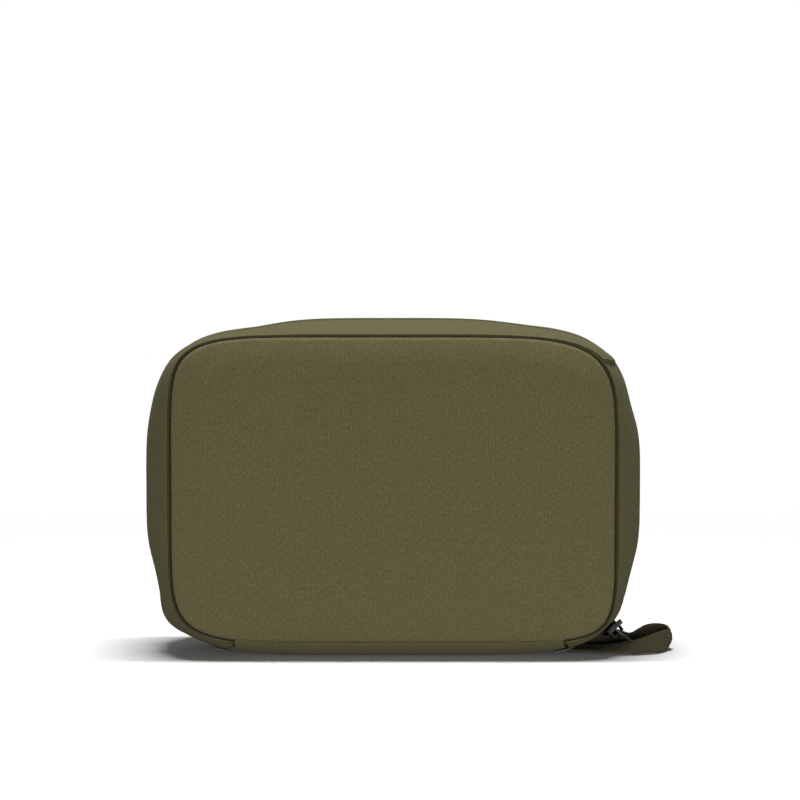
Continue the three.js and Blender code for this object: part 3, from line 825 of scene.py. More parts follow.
    def face(self, columns: int, rows: int, inset: float, y: float, crown: Callable[[Array], Array]) -> Array:
        """Gives a grid of points over the panel's outline, its lines nearly straight.

        Args:
            columns: Steps across.
            rows: Steps up.
            inset: How far the grid's edge lies inside the panel's outline.
            y: The edge's depth.
            crown: The swell, signed as y is, by share of the way from the middle to the edge.

        Returns:
            The grid, rows by columns by 3.
        """
        u, v, share = spread(columns, rows)
        safe = np.maximum(share, 1e-6)
        edge = self.point(np.arctan2(v / safe, u / safe), self.seam_y, inset)
        depth = y + crown(share)
        x, z = edge[..., 0] * share, self.centre_z + (edge[..., 2] - self.centre_z) * share
        return np.stack([x, depth, z], -1)


def nearest(line: Array, points: Array) -> Array:
    """Gives the nearest of some points to each point of a line."""
    return points[np.linalg.norm(line[:, None] - points[None], axis=-1).argmin(1)]


def edge_of(grid: Array) -> Array:
    """Gives a grid's edge points in order round it."""
    return np.concatenate([grid[0, :-1], grid[:-1, -1], grid[-1, :0:-1], grid[:0:-1, 0]])


# ---- studio -------------------------------------------------------------------------------------
@dataclass
class Studio:
    """A white sweep, soft light and the camera, which stands a little above the pouch's middle."""

    aim: tuple[float, float, float] = (0.0033, 0.0, 0.1211)
    distance: float = 1.45
    elevation: float = 4.6
    frame_width: float = 0.3871
    sensor: float = 36.0
    backdrop: float = 1.0
    fill: float = 0.028
    bounce: float = 0.3  # the floor's brightness as the pouch sees it

    def camera(self) -> None:
        """Places the camera square to the front."""
        data = bpy.data.cameras.new("camera")
        data.sensor_width = self.sensor
        data.lens = self.sensor * self.distance / self.frame_width
        data.clip_end = 20
        made = bpy.data.objects.new("camera", data)
        tilt = math.radians(self.elevation)
        made.location = Vector(self.aim) + self.distance * Vector((0, -math.cos(tilt), math.sin(tilt)))
        made.rotation_euler = (math.pi / 2 - tilt, 0, 0)
        bpy.context.scene.collection.objects.link(made)
        bpy.context.scene.camera = made

    def lamp(self, name: str, place: Sequence[float], size: tuple[float, float], power: float) -> None:
        """Hangs a soft rectangular lamp that faces the pouch.

        Args:
            name: The lamp's name.
            place: Where it hangs, in metres.
            size: Its width and height, in metres.
            power: Its power, in watts.
        """
        data = bpy.data.lights.new(name, "AREA")
        data.shape = "RECTANGLE"
        data.size, data.size_y = size
        data.energy = power
        made = bpy.data.objects.new(name, data)
        made.location = place
        made.rotation_euler = (Vector((0, 0, 0.06)) - Vector(place)).to_track_quat("-Z", "Y").to_euler()
        bpy.context.scene.collection.objects.link(made)

    def surroundings(self) -> None:
        """Makes the sky: bright to look at, dim to light by."""
        world = bpy.data.worlds.new("studio")
        world.use_nodes = True
        bpy.context.scene.world = world
        g = Graph(world.node_tree)
        white = (1, 1, 1, 1)
        seen = g.node("ShaderNodeBackground", {"Color": white, "Strength": self.backdrop}).outputs[0]
        light = g.node("ShaderNodeBackground", {"Color": white, "Strength": self.fill}).outputs[0]
        to_camera = g.node("ShaderNodeLightPath").outputs["Is Camera Ray"]
        both = g.node("ShaderNodeMixShader", {0: to_camera, 1: light, 2: seen}).outputs[0]
        g.feed(world.node_tree.nodes["World Output"], {0: both})

    def floor(self) -> None:
        """Lays the pale floor."""
        stock = Stock()
        line = np.linspace(-3000, 3000, 7)
        x, y = np.meshgrid(line, line)
        stock.grid(np.stack([x, y, 0 * x], -1))
        piece = stock.finish("floor")
        g, shader = blank("studio floor")
        place = g.node("ShaderNodeTexCoord").outputs["Object"]
        tone = g.blend(g.noise(place, 3.0), (0.93, 0.93, 0.93, 1), (0.95, 0.95, 0.95, 1))
        to_camera = g.node("ShaderNodeLightPath").outputs["Is Camera Ray"]
        reach = g.node("ShaderNodeVectorMath", {0: place}, operation="LENGTH").outputs["Value"]
        fade = {"Value": reach, "From Min": 0.3, "From Max": 0.6, "To Min": 1.0, "To Max": 0.0}
        look = {
            "Base Color": g.blend(to_camera, (self.bounce, self.bounce, self.bounce, 1), tone),
            "Roughness": 0.9,
            "Specular IOR Level": 0.0,
            "Alpha": g.node("ShaderNodeMapRange", fade).outputs[0],
        }
        g.feed(shader, look)
        piece.data.materials.append(MADE["studio floor"])

    def build(self) -> None:
        """Sets up camera, light and floor."""
        self.camera()
        self.surroundings()
        self.floor()
        self.lamp("key", (0.3, -2.1, 0.11), (2.9, 0.19), 33.5)
        self.lamp("top", (0.0, 0.035, 1.5), (0.7, 0.09), 25.5)
        self.lamp("left", (-1.7, -0.9, 0.13), (0.8, 0.2), 8.0)
        self.lamp("right", (1.7, -0.9, 0.13), (0.8, 0.2), 6.0)
        self.lamp("back", (0.0, 1.9, 1.0), (1.4, 0.8), 4.5)
        view = bpy.context.scene.view_settings
        view.view_transform = "Standard"
        view.look = "None"
        LOG.info("studio set")


# ---- outer shell --------------------------------------------------------------------------------
@dataclass
class PaddedPanel:
    """The front or back panel: cloth over foam, with its edge turned into the seam."""

    form: PouchForm
    side: Side
    crown: float = 2.6
    shoulder: float = 1.3
    back_crown: float = 3.6
    columns: int = 72
    rows: int = 50
    edge_inset: float = 3.0
    face_y: float = 33.4
    back_y: float = 28.9
    back_inset: float = 3.0
    pressure: float = 4.0
    frames: int = 20
    slack: float = -0.012
    seed: float = 3.1

    # inset and depth of each ring that turns the edge into the seam
    HEM: ClassVar[tuple[tuple[float, float], ...]] = (
        (2.1, 33.2),
        (1.45, 32.8),
        (1.1, 32.2),
        (0.95, 31.2),
        (1.0, 30.2),
        (3.0, 29.6),
    )

    def _swell(self, flat: Array) -> Array:
        """Blows the flat cloth up from behind, held at its seam, and gives it back as a grid.

        Args:
            flat: The flat cloth's grid.

        Returns:
            The swollen grid, its highest point at the panel's crown.
        """
        stock = Stock()
        stock.grid(flat)
        cloth = stock.finish("swelling")
        shape = flat.shape
        rim = np.zeros(shape[:2], bool)
        rim[[0, -1], :] = rim[:, [0, -1]] = True
        held = cloth.vertex_groups.new(name="held")
        held.add([int(i) for i in np.flatnonzero(rim.ravel())], 1.0, "ADD")
        work = cloth.modifiers.new("swell", "CLOTH")
        setup = work.settings
        setup.quality = 6
        setup.mass = 0.3
        setup.tension_stiffness = setup.compression_stiffness = 20
        setup.shear_stiffness = 8
        setup.bending_stiffness = 0.6
        setup.shrink_min = self.slack
        setup.vertex_group_mass = "held"
        setup.use_pressure = True
        setup.uniform_pressure_force = self.pressure * self._way_out(cloth)
        setup.effector_weights.gravity = 0
        work.point_cache.frame_start = 1
        work.point_cache.frame_end = self.frames
        scene = bpy.context.scene
        for step in range(1, self.frames + 1):
            scene.frame_set(step)
        made = cloth.evaluated_get(bpy.context.evaluated_depsgraph_get()).data
        moved = np.array([v.co for v in made.vertices]).reshape(shape) / MM - flat
        bpy.data.objects.remove(cloth)
        scene.frame_set(1)
        most = np.abs(moved[..., 1]).max()
        LOG.info("%s panel swelled by %.1f mm before it was scaled", self.side.prefix, most)
        return flat + moved * (self.crown / most if most > 1e-3 else 0.0)

    def _way_out(self, cloth: bpy.types.Object) -> float:
        """Gives 1 if the cloth's faces point out of the pouch, else -1."""
        return 1.0 if cloth.data.polygons[0].normal.y * self.side.value > 0 else -1.0

    def build(self) -> bpy.types.Object:
        """Makes the panel.

        Returns:
            The dressed panel.
        """
        sign = self.side.value
        rise = dome(0.0)
        front = self.form.face(self.columns, self.rows, self.edge_inset, sign * self.face_y, rise)
        front = self._swell(front)
        u, v, share = spread(self.columns, self.rows)
        angles = np.arctan2(edge_of(v), edge_of(u))
        puckers = ripple(front[..., 0] / 13, front[..., 2] / 13, self.seed) * ease(share, 0.88, 0.98)
        waves = ripple(front[..., 0] / 46, front[..., 2] / 46, self.seed + 4) * (1 - share**6)
        roll = self.shoulder * (1 - np.maximum(0, (share - 0.86) / 0.14) ** 2)
        front[..., 1] += sign * (roll + 0.12 * puckers + 0.5 * waves)
        stock = Stock()
        first = stock.grid(front, flat=np.stack([front[..., 0], front[..., 2]], -1) * MM)
        loop = edge_of(np.arange(front.shape[0] * front.shape[1]).reshape(front.shape[:2])) + first
        rim = edge_of(front)
        run = np.arctan2(edge_of(front)[:, 2] - self.form.centre_z, edge_of(front)[:, 0]) * 18
        sway = 0.12 * ripple(run, 0 * run, self.seed + 9)
        for inset, y in self.HEM:
            ring = self.form.ring(angles, inset + sway, sign * y)
            loop, rim = stock.band(loop, rim, ring), ring
        swell = dome(sign * self.back_crown)
        back = self.form.face(self.columns, self.rows, self.back_inset, sign * self.back_y, swell)
        start = stock.grid(back)
        inner = edge_of(np.arange(back.shape[0] * back.shape[1]).reshape(back.shape[:2])) + start
        for k in range(len(loop)):
            m = (k + 1) % len(loop)
            stock.face((loop[k], loop[m], inner[m], inner[k]), np.zeros((4, 2)))
        piece = stock.finish(f"{self.side.prefix}_padded_panel", levels=1)
        nodes = [f"{self.side.prefix}_panel", f"{self.side.prefix}_foam"]
        dress(piece, Finish.PANEL, self.side.body, nodes)
        return piece


@dataclass
class Tuck:
    """A fold taken up in the gusset where the top band laps over the side band."""

    place: float  # distance along the gusset's ruler
    rise: float = 1.05
    under: float = 0.55
    lap: float = 2.6
    ramp: float = 24.0
    recover: float = 4.8
    nose: float = 4.8
    zip_fade: tuple[float, float] = (7.0, 14.0)

    def apply(self, run: Array, y: Array) -> tuple[Array, Array]:
        """Gives where the fold moves the cloth.

        Args:
            run: Distances along the gusset.
            y: Depths.

        Returns:
            The new distances, and how far the cloth stands proud.
        """
        d = self.place - run
        strength = ease(np.abs(y), *self.zip_fade) * (1 - 0.35 * ease(np.abs(y), 27, 32))
        proud = ease(np.abs(y), 12, 24) * (1 - 0.4 * ease(np.abs(y), 29, 32))
        nose = self.nose * (1 - np.clip((np.abs(y) - 20) / 12, -1, 1) ** 2)
        over = ease(d, 0.0, 0.9)
        back = self.lap * over * (1 - ease(d, 0.9, self.recover))
        lift = self.rise * ease(d, -self.ramp, 0.0) * (1 - over)
        lift -= self.under * over * (1 - ease(d, 0.9, self.recover))
        moved = run - strength * nose * np.exp(-((d / 11) ** 2)) + strength * back
        return moved, proud * lift


@dataclass
class Gusset:
    """One half of the band round the pouch, from its seam to the zip."""

    form: PouchForm
    side: Side
    window: float = 5.4
    pitch: float = 2.6
    furrow: float = 3.1
    seed: float = 21.0
    stitch: tuple[float, float, float] = (2.3, 0.55, 0.5)
    stitch_pitch: float = 3.3

    PROFILE: ClassVar[tuple[tuple[float, float, float], ...]] = (
        # share of the way from the seam to the zip edge, shift towards the zip, inset
        (0, 2.4, 3.9),
        (0, 2.3, 2.6),
        (0, 2.2, 1.2),
        (0, 1.5, 0.4),
        (0, 0.75, 0.08),
        (0, 1.0, -0.12),
        (0, 2.4, -0.02),
        *((s / 100, 0.0, 0.0) for s in range(14, 80, 7)),
        (1, -4.4, 0.0),
        (1, -3.5, 0.1),
        (1, -3.1, 0.38),
        (1, -2.7, 0.1),
        (1, -1.6, -0.12),
        (1, -0.6, -0.02),
        (1, -0.1, 0.45),
        (1, 0.0, 1.0),
        (1, -0.2, 1.6),
        (1, -1.0, 1.95),
        (0.75, 0.0, 2.0),
        (0.4, 0.0, 2.0),
        (0.15, 0.0, 2.0),
        (0, 3.4, 2.3),
        (0, 3.1, 3.9),
    )

    def tuck(self) -> Tuck | None:
        """Gives the front gusset's fold at its upper right corner."""
        if self.side is Side.REAR:
            return None
        run, angles = self.form.gusset_ruler()
        return Tuck(float(np.interp(math.radians(42.6), angles, run)))

    def stations(self, total: float, tuck: Tuck | None) -> Array:
        """Gives the sections' places, closer at the gusset's ends and at its fold.

        Args:
            total: The gusset's length.
            tuck: Its fold, if it has one.

        Returns:
            Distances along the gusset, in order.
        """
        ends = np.array([0.0, 0.4, 1.0, 1.8])
        even = np.linspace(2.8, total - 2.8, round((total - 5.6) / self.pitch))
        runs = [ends, even, total - ends]
        if tuck:
            before = [-9, -6, -3.6, -2, -1, -0.4, 0]
            near = np.array([*before, 0.2, 0.4, 0.6, 0.8, 0.95, 1.2, 1.8, 2.8, 4.2, 6, 8])
            runs[1] = even[np.abs(even - tuck.place) > 9.6]
            runs.append(tuck.place - near)
        return np.unique(np.concatenate(runs))

    def skew(self, run: Array, y: Array, total: float) -> Array:
        """Gives the turn that brings the band's two ends square to the base.

        Args:
            run: Distances along the gusset.
            y: Depths.
            total: The gusset's length.

        Returns:
            The turn at each place.
        """
        depth = np.linspace(0, self.form.seam_y, 33)
        turns = [np.interp(np.abs(y), depth, self.form.end_turn(depth, left)) for left in (False, True)]
        return turns[0] * (1 - ease(run, 0, 32)) + turns[1] * (1 - ease(total - run, 0, 32))

    def edge(self, angle: Array) -> Array:
        """Gives the depth of the folded edge beside the zip."""
        return self.form.zip_y(angle) + self.side.value * self.window

    def build(self) -> bpy.types.Object:
        """Makes the gusset and its topstitching.

        Returns:
            The dressed gusset.
        """
        ruler, angles = self.form.gusset_ruler()
        tuck = self.tuck()
        run = self.stations(ruler[-1], tuck)[:, None]
        share, shift, inset = (np.array(c)[None, :] for c in zip(*self.PROFILE))
        seam = self.side.value * (self.form.seam_y - 0.3)
        edge = self.edge(np.interp(run, ruler, angles))
        y = seam + (edge - seam) * share - self.side.value * shift
        outer = (inset < 1.2) * 1.0
        lift = 0.0
        if tuck:
            run, lift = tuck.apply(run, y)
            lift = lift * outer
        angle = np.interp(run, ruler, angles) + self.skew(run, y, ruler[-1])
        seam_gap, zip_gap = np.abs(y - seam), np.abs(y - edge)
        free = ease(seam_gap, 0.0, 9.0) * ease(zip_gap, 1.0, 8.0)
        corner = np.exp(-(((np.abs(np.cos(angle)) - 0.72) / 0.2) ** 2)) * (np.sin(angle) > 0)
        give = 0.55 * ripple(run / 44, y / 30, self.seed) * free
        give = give + 0.3 * ripple(run / 8, y / 26, self.seed + 5) * corner * free
        give = give + 0.2 * ripple(run / 6, y / 9, self.seed + 9) * np.exp(-seam_gap / 4)
        give = give + 0.12 * ripple(run / 5, y / 9, self.seed + 14) * np.exp(-zip_gap / 4)
        end = np.minimum(np.broadcast_to(run, y.shape), ruler[-1] - run)
        close = 1.6 * (1 - ease(end, 0.0, 2.0)) ** 2
        depth = np.where(outer > 0, inset - give - lift + close, inset)
        depth = np.minimum(depth, np.where(outer > 0, 2.2, 9.0))
        prefix = self.side.prefix
        piece = Stock().sweep(self.form.point(angle, y, depth)).finish(f"{prefix}_gusset_band", levels=1)
        dress(piece, Finish.GUSSET, self.side.body, [f"{prefix}_gusset"])
        self._topstitch(ruler, angles)
        return piece

    def _topstitch(self, ruler: Array, angles: Array) -> None:
        """Sews the row along the folded edge."""
        run = np.arange(4.0, ruler[-1] - 4.0, self.stitch_pitch)
        angle = np.interp(run, ruler, angles)
        y = self.edge(angle) + self.side.value * self.furrow
        place = self.form.point(angle, y, 0.3)
        ahead = np.interp(run + 0.5, ruler, angles)
        along = self.form.point(ahead, self.edge(ahead) + self.side.value * self.furrow, 0.3) - place
        stock = Stock().stamp(place, along, self.form.outward(angle, y), self.stitch)
        dress(stock.finish(f"{self.side.prefix}_zip_topstitching"), Finish.THREAD, self.side.body)


@dataclass
class Base:
    """The base panel with its rounded seams, the board in it, and the lining over that."""

    form: PouchForm
    half_depth: float = 31.7
    columns: int = 72

    def build(self) -> None:
        """Makes the base's three layers."""
        gap = 0.0044
        stop = 2 * math.pi + self.form.base_end - gap
        run, angles = self.form.ruler(math.pi - self.form.base_end + gap, stop)
        ends = np.array([0.0, 0.35, 0.9, 1.7])
        even = np.linspace(2.8, run[-1] - 2.8, self.columns)
        stations = np.concatenate([ends, even, (run[-1] - ends)[::-1]])
        angle = np.interp(stations, run, angles)[:, None]
        half = self.half_depth
        rows = np.array([-half, -half, -half + 0.2, -half + 0.9, -half + 2, -28, -24, -14, 0])
        depths = np.array([2.0, 1.2, 0.5, 0.12, 0, 0, 0, 0, 0])
        y = np.concatenate([rows, -rows[-2::-1], [28.0, 0.0, -28.0]])[None, :]
        inset = np.concatenate([depths, depths[-2::-1], [2.0, 2.0, 2.0]])[None, :]
        end = np.minimum(stations, run[-1] - stations)[:, None]
        outer = inset < 1.9
        close = 1.5 * (1 - ease(end, 0.0, 1.8)) ** 2
        pull = 0.25 * ripple(stations[:, None] / 12, y / 14, 61.0) * (np.abs(y) > 29.5)
        depth = np.where(outer, np.minimum(inset + close + np.abs(pull), 1.9), inset)
        flat_y = (y + 0 * angle)[0]
        right, left = self.form.end_turn(flat_y, False), self.form.end_turn(flat_y, True)
        along = stations[:, None] / run[-1]
        angle = angle + left[None, :] * (1 - ease(along, 0, 0.3)) + right[None, :] * ease(along, 0.7, 1)
        piece = Stock().sweep(self.form.point(angle, y + 0 * angle, depth)).finish("base_bottom", levels=1)
        dress(piece, Finish.BASE, "rear_shell", ["base_panel"])
        refinish("base_board", Finish.BOARD)
        self._lining()

    def _lining(self) -> None:
        """Lays the lining over the board, its edges turned down to the base."""
        low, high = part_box("base_lining")
        x, y = np.meshgrid(np.linspace(low.x, high.x, 42) / MM, np.linspace(low.y, high.y, 18) / MM)
        edge = np.minimum(high.x / MM - np.abs(x), high.y / MM - np.abs(y))
        wave = 0.25 * ripple(x / 26, y / 26, 71.0) * ease(edge, 0, 10)
        top = high.z / MM + wave - 0.9 * (1 - ease(edge, 0, 3))
        outer = np.stack([x, y, top], -1)
        piece = Stock().slab(outer, outer - [0, 0, 0.6]).finish("base_inner_lining", levels=1)
        dress(piece, Finish.LINING, "rear_shell", ["base_lining"])


# ---- main zip -----------------------------------------------------------------------------------
@dataclass
class MainZip:
    """The zip round the pouch: two tapes, two rows of teeth, end patches, slider and pull."""

    form: PouchForm
    reach: float = 9.0
    tape: float = 0.6
    tape_inset: float = 2.3
    tooth_pitch: float = 1.7
    tooth: tuple[float, float, float] = (2.7, 0.95, 1.15)

    def _tape(self, side: Side) -> None:
        """Makes one tape."""
        run, angles = self.form.gusset_ruler()
        angle = np.interp(np.linspace(0, run[-1], 190), run, angles)[:, None]
        out = np.linspace(self.reach, 0.5, 5)
        y = self.form.zip_y(angle) + side.value * np.concatenate([out, out[::-1]])[None, :]
        inset = np.repeat([self.tape_inset, self.tape_inset + self.tape], 5)[None, :]
        stock = Stock().sweep(self.form.point(angle, y, inset + 0 * y))
        piece = stock.finish(f"{side.prefix}_zip_tape_woven")
        dress(piece, Finish.ZIP_TAPE, side.body, [f"{side.prefix}_zip_tape"])

    def _teeth(self, side: Side) -> None:
        """Makes one row of teeth on its cord."""
        run, angles = self.form.gusset_ruler()
        offset = 0.0 if side is Side.FRONT else self.tooth_pitch / 2
        at = np.arange(3.0 + offset, run[-1] - 3.0, self.tooth_pitch)
        angle = np.interp(at, run, angles)
        middle = side.value * (self.tooth[0] / 2 - 0.35)
        y = self.form.zip_y(angle) + middle
        up = self.form.outward(angle, y)
        place = self.form.point(angle, y, 1.2)
        across = np.cross(up, self.form.point(angle + 0.004, y, 1.2) - place)
        stock = Stock().stamp(place, across, up, self.tooth)
        fine = np.interp(np.linspace(1.0, run[-1] - 1.0, 190), run, angles)[:, None]
        rows = np.array([2.3, 2.3, 1.0, 1.0])[None, :]
        deep = np.array([1.5, 2.0, 2.0, 1.5])[None, :]
        stock.sweep(self.form.point(fine, self.form.zip_y(fine) + side.value * rows, deep))
        piece = stock.finish(f"{side.prefix}_zip_teeth")
        dress(piece, Finish.COIL, side.body, [f"{side.prefix}_zip_coil"])

    def _end_patch(self, name: str, left: bool) -> None:
        """Makes the patch that covers one end of the zip, and its two rows of stitches.

        Args:
            name: The CAD node that it replaces.
            left: Whether it is the left end.
        """
        angle = np.radians(np.linspace(-55.0, -51.5, 9))
        angle = math.pi - angle if left else angle
        turn, y = np.meshgrid(angle, np.linspace(-24, -16, 9), indexing="ij")
        lift = -0.85 + 0.12 * ripple(y, turn * 90, 5.0)
        lift[[0, -1], :] += 0.45
        lift[1:-1, [0, -1]] += 0.45
        stock = Stock().slab(self.form.point(turn, y, lift), self.form.point(turn, y, -0.3))
        dress(stock.finish(f"{name}_patch", levels=1), Finish.BINDING, "rear_shell", [name])
        sewing = Stock()
        for row in (-22.7, -17.3):
            at = np.linspace(angle[1], angle[-2], 5)
            place = self.form.point(at, row, -0.95)
            along = self.form.point(at + 0.01, row, -0.95) - place
            sewing.stamp(place, along, self.form.outward(at, row), (1.7, 0.5, 0.4))
        dress(sewing.finish(f"{name}_stitches"), Finish.THREAD, "rear_shell")

    def build(self) -> None:
        """Makes the zip and gives the slider and pull their finish."""
        for side in Side:
            self._tape(side)
            self._teeth(side)
        self._end_patch("zip_end_tab_right", False)
        self._end_patch("zip_end_tab_left", True)
        for node in ("main_slider", "main_pull", "lid_pocket_slider", "lid_pocket_pull"):
            cast = refinish(node, Finish.METAL)
            edge = cast.modifiers.new("broken edges", "BEVEL")
            edge.width = 0.22 * MM
            edge.segments = 2
            edge.limit_method = "ANGLE"
            edge.angle_limit = math.radians(35)


# ---- inside of the two shells -------------------------------------------------------------------
@dataclass
class InnerShell:
    """One shell's linings and the tape that binds its seam."""

    form: PouchForm
    side: Side
    crown: float = 3.6
    lining_y: float = 28.4
    lining: float = 0.6
    edge_inset: float = 3.8

    # the folded tape's section: inset and depth
    TAPE: ClassVar[tuple[tuple[float, float], ...]] = (
        (1.9, 28.3),
        (2.5, 28.38),
        (3.25, 28.3),
        (3.4, 27.3),
        (3.3, 26.3),
        (2.6, 26.2),
        (1.9, 26.35),
        (1.8, 27.3),
    )

    def build(self) -> None:
        """Makes the panel lining, the gusset lining and the binding."""
        sign, prefix = self.side.value, self.side.prefix
        outer = self.form.face(60, 42, self.edge_inset, sign * self.lining_y, dome(sign * self.crown))
        share = spread(60, 42)[2]
        crease = ripple(outer[..., 0] / 30, outer[..., 2] / 22, 81.0 + sign) * 0.55 * (1 - share**8)
        outer[..., 1] -= sign * (0.5 + crease) * (share < 1)
        stock = Stock().slab(outer, outer - [0, sign * self.lining, 0], flat=outer[..., [0, 2]] * MM)
        piece = stock.finish(f"{prefix}_inner_lining", levels=1)
        dress(piece, Finish.LINING, self.side.body, [f"{prefix}_lining"])
        self._gusset_lining()
        self._binding()
        self._groove()

    def _groove(self) -> None:
        """Lays a dark cord in the bottom of the outer groove: painted shade that stands for the groove's
        shadow.
        """
        angle = self.form.seam_ruler(260)[1]
        rings = []
        for turn in np.linspace(0, 2 * math.pi, 8, endpoint=False):
            y = self.side.value * (30.7 + 0.5 * math.sin(turn))
            rings.append(self.form.ring(angle, 0.62 + 0.5 * math.cos(turn), y))
        # painted shade: this dark ring stands for the shadow in the groove
        piece = Stock().hoop(rings).finish(f"{self.side.prefix}_groove_tape")
        dress(piece, Finish.GROOVE_SHADE, self.side.body)

    def _gusset_lining(self) -> None:
        """Makes the strip of lining inside the gusset."""
        sign, prefix = self.side.value, self.side.prefix
        run, angles = self.form.ruler(math.radians(-40), math.radians(220))
        at = np.linspace(0, run[-1], 150)
        angle = np.interp(at, run, angles)[:, None]
        share = np.linspace(0, 1, 9)[None, :]
        edge = self.form.zip_y(angle) + sign * 9.6
        y = sign * 25.8 + (edge - sign * 25.8) * share
        wave = 0.3 * ripple(at[:, None] / 16, y / 12, 91.0 + sign) * np.sin(math.pi * share)
        outer, inner = (self.form.point(angle, y, 3.2 + d + np.abs(wave)) for d in (0.0, 0.55))
        piece = Stock().slab(outer, inner).finish(f"{prefix}_gusset_inner_lining", levels=1)
        dress(piece, Finish.LINING, self.side.body, [f"{prefix}_gusset_lining"])

    def _binding(self) -> None:
        """Wraps the seam allowance with tape."""
        sign, prefix = self.side.value, self.side.prefix
        at, angle = self.form.seam_ruler(260)
        pull = 0.12 * ripple(at / 5, 0 * at, 101.0 + sign)
        rings = [self.form.ring(angle, inset + np.abs(pull), sign * y) for inset, y in self.TAPE]
        piece = Stock().hoop(rings).finish(f"{prefix}_seam_tape", levels=1)
        dress(piece, Finish.BINDING, self.side.body, [f"{prefix}_seam_binding"])


# ---- grab loop ----------------------------------------------------------------------------------
@dataclass
class GrabLoop:
    """Flat webbing sewn at both ends into the base's right end, its bight lying beside the pouch."""

    width: float = 10.0
    thickness: float = 1.3
    rib_pitch: float = 1.6
    rib_depth: float = 0.1
    cup: float = 2.0  # how far the middle of the webbing stands out at the bight
    cup_reach: float = 9.0
    # each station: its middle, then the direction of the webbing's width
    stations: tuple[tuple[tuple[float, float, float], tuple[float, float, float]], ...] = (
        ((82.5, -7.0, 1.1), (0.0, 1.0, 0.0)),
        ((92.0, -12.5, 1.5), (0.3, 0.95, 0.05)),
        ((103.0, -17.5, 2.6), (0.1, 0.97, 0.2)),
        ((113.0, -18.5, 3.3), (0.0, 0.92, 0.38)),
        ((122.5, -16.5, 4.2), (0.03, 0.82, 0.58)),
        ((130.5, -11.0, 5.2), (0.1, 0.42, 0.9)),
        ((133.0, -4.5, 5.6), (0.1, 0.05, 0.99)),
        ((131.5, 2.0, 6.6), (0.0, -0.12, 0.99)),
        ((125.5, 5.8, 6.2), (0.0, -0.3, 0.95)),
        ((116.0, 7.5, 3.0), (0.0, -0.7, 0.71)),
        ((105.5, 7.0, 4.2), (0.0, -0.45, 0.89)),
        ((92.0, 7.0, 2.4), (-0.1, -0.9, 0.4)),
        ((82.5, 8.0, 1.1), (0.0, -1.0, 0.0)),
    )

    def build(self) -> bpy.types.Object:
        """Makes the webbing.

        Returns:
            The dressed webbing, left on no CAD body.
        """
        middle = smooth_line([s[0] for s in self.stations], 30)
        across = unit(smooth_line([s[1] for s in self.stations], 30))
        along = unit(np.gradient(middle, axis=0))
        across = unit(across - along * (across * along).sum(-1, keepdims=True))
        out = np.cross(along, across)
        run = np.concatenate([[0], np.cumsum(np.linalg.norm(np.diff(middle, axis=0), axis=1))])
        half_w, half_t = self.width / 2, self.thickness / 2
        wide = np.array([-1, -0.97, -0.84, -0.72, -0.4, 0, 0.4, 0.72, 0.84, 0.97])
        edge = np.array([0.3, 0.85, 1.0, 0.72, 0.86, 0.92, 0.86, 0.72, 1.0, 0.85])
        place = np.concatenate([wide, -wide]) * half_w
        rise = np.concatenate([edge, -edge]) * half_t
        rib = 1 - self.rib_depth * (1 + np.cos(2 * math.pi * run / self.rib_pitch))
        inner = (np.abs(place) < 0.7 * half_w)[None, :]
        height = rise[None, :] * np.where(inner, rib[:, None], 1.0)
        bight = run[np.argmax(middle[:, 0])]
        cup = self.cup * np.exp(-(((run - bight) / self.cup_reach) ** 2))
        side = np.sign((out[np.argmax(middle[:, 0])] * (1, 0, 0)).sum())
        height = height + side * cup[:, None] * (1 - (place[None, :] / half_w) ** 2)
        sections = middle[:, None] + across[:, None] * place[None, :, None]
        sections = sections + out[:, None] * height[..., None]
        sections[..., 2] = np.maximum(sections[..., 2], 0.15)
        piece = Stock().sweep(sections).finish("grab_loop_webbing")
        nodes = ["grab_loop_end_front", "grab_loop", "grab_loop_end_rear"]
        dress(piece, Finish.WEBBING, stands_for=nodes)
        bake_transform(piece)
        return piece


# ---- small sewn parts ---------------------------------------------------------------------------
@dataclass
class ElasticLoop:
    """An elastic band that arches off a flat face, sewn down at both feet."""

    name: str
    body: str
    x: float
    z: float
    face_y: float
    half: float = 17.0
    foot: float = 3.0
    rise: float = 9.0
    height: float = 20.0
    thickness: float = 1.0

    def build(self) -> None:
        """Makes the band and its bar tacks."""
        flat = self.half - self.foot
        turn = np.linspace(0, math.pi, 27)
        x = -np.cos(turn) * (flat - 0.6)
        lift = self.rise * np.sin(turn) ** 0.72
        feet = np.linspace(self.half, flat + 0.4, 4)
        x = np.concatenate([-feet, x, feet[::-1]])
        lift = np.concatenate([0 * feet, lift, 0 * feet]) + 0.15
        slope = unit(np.stack([np.gradient(x), np.gradient(lift)], -1))
        steps = np.linspace(-1, 1, 15)
        rib = 0.5 + 0.07 * np.cos(np.arange(15) * math.pi)
        across = np.concatenate([steps, steps[::-1]]) * self.height / 2
        half = np.concatenate([rib, -rib]) * self.thickness
        px = self.x + x[:, None] - slope[:, 1:2] * half[None, :]
        py = self.face_y - 0.35 - 0.5 * self.thickness - lift[:, None] - slope[:, 0:1] * half[None, :]
        pz = self.z + across[None, :] + 0 * px
        piece = Stock().sweep(np.stack([px, py, pz], -1)).finish(f"{self.name}_band")
        dress(piece, Finish.ELASTIC, self.body, [self.name])
        sewing = Stock()
        for foot in (-1, 1):
            z = np.linspace(-0.43, 0.43, 17) * self.height + self.z
            at = np.stack([0 * z + self.x + foot * (flat + 1.9), 0 * z + self.face_y - 1.5, z], -1)
            sewing.stamp(at, np.array([1.0, 0, 0.25]), np.array([0, -1.0, 0]), (1.9, 0.6, 0.45))
        dress(sewing.finish(f"{self.name}_bar_tacks"), Finish.THREAD, self.body)


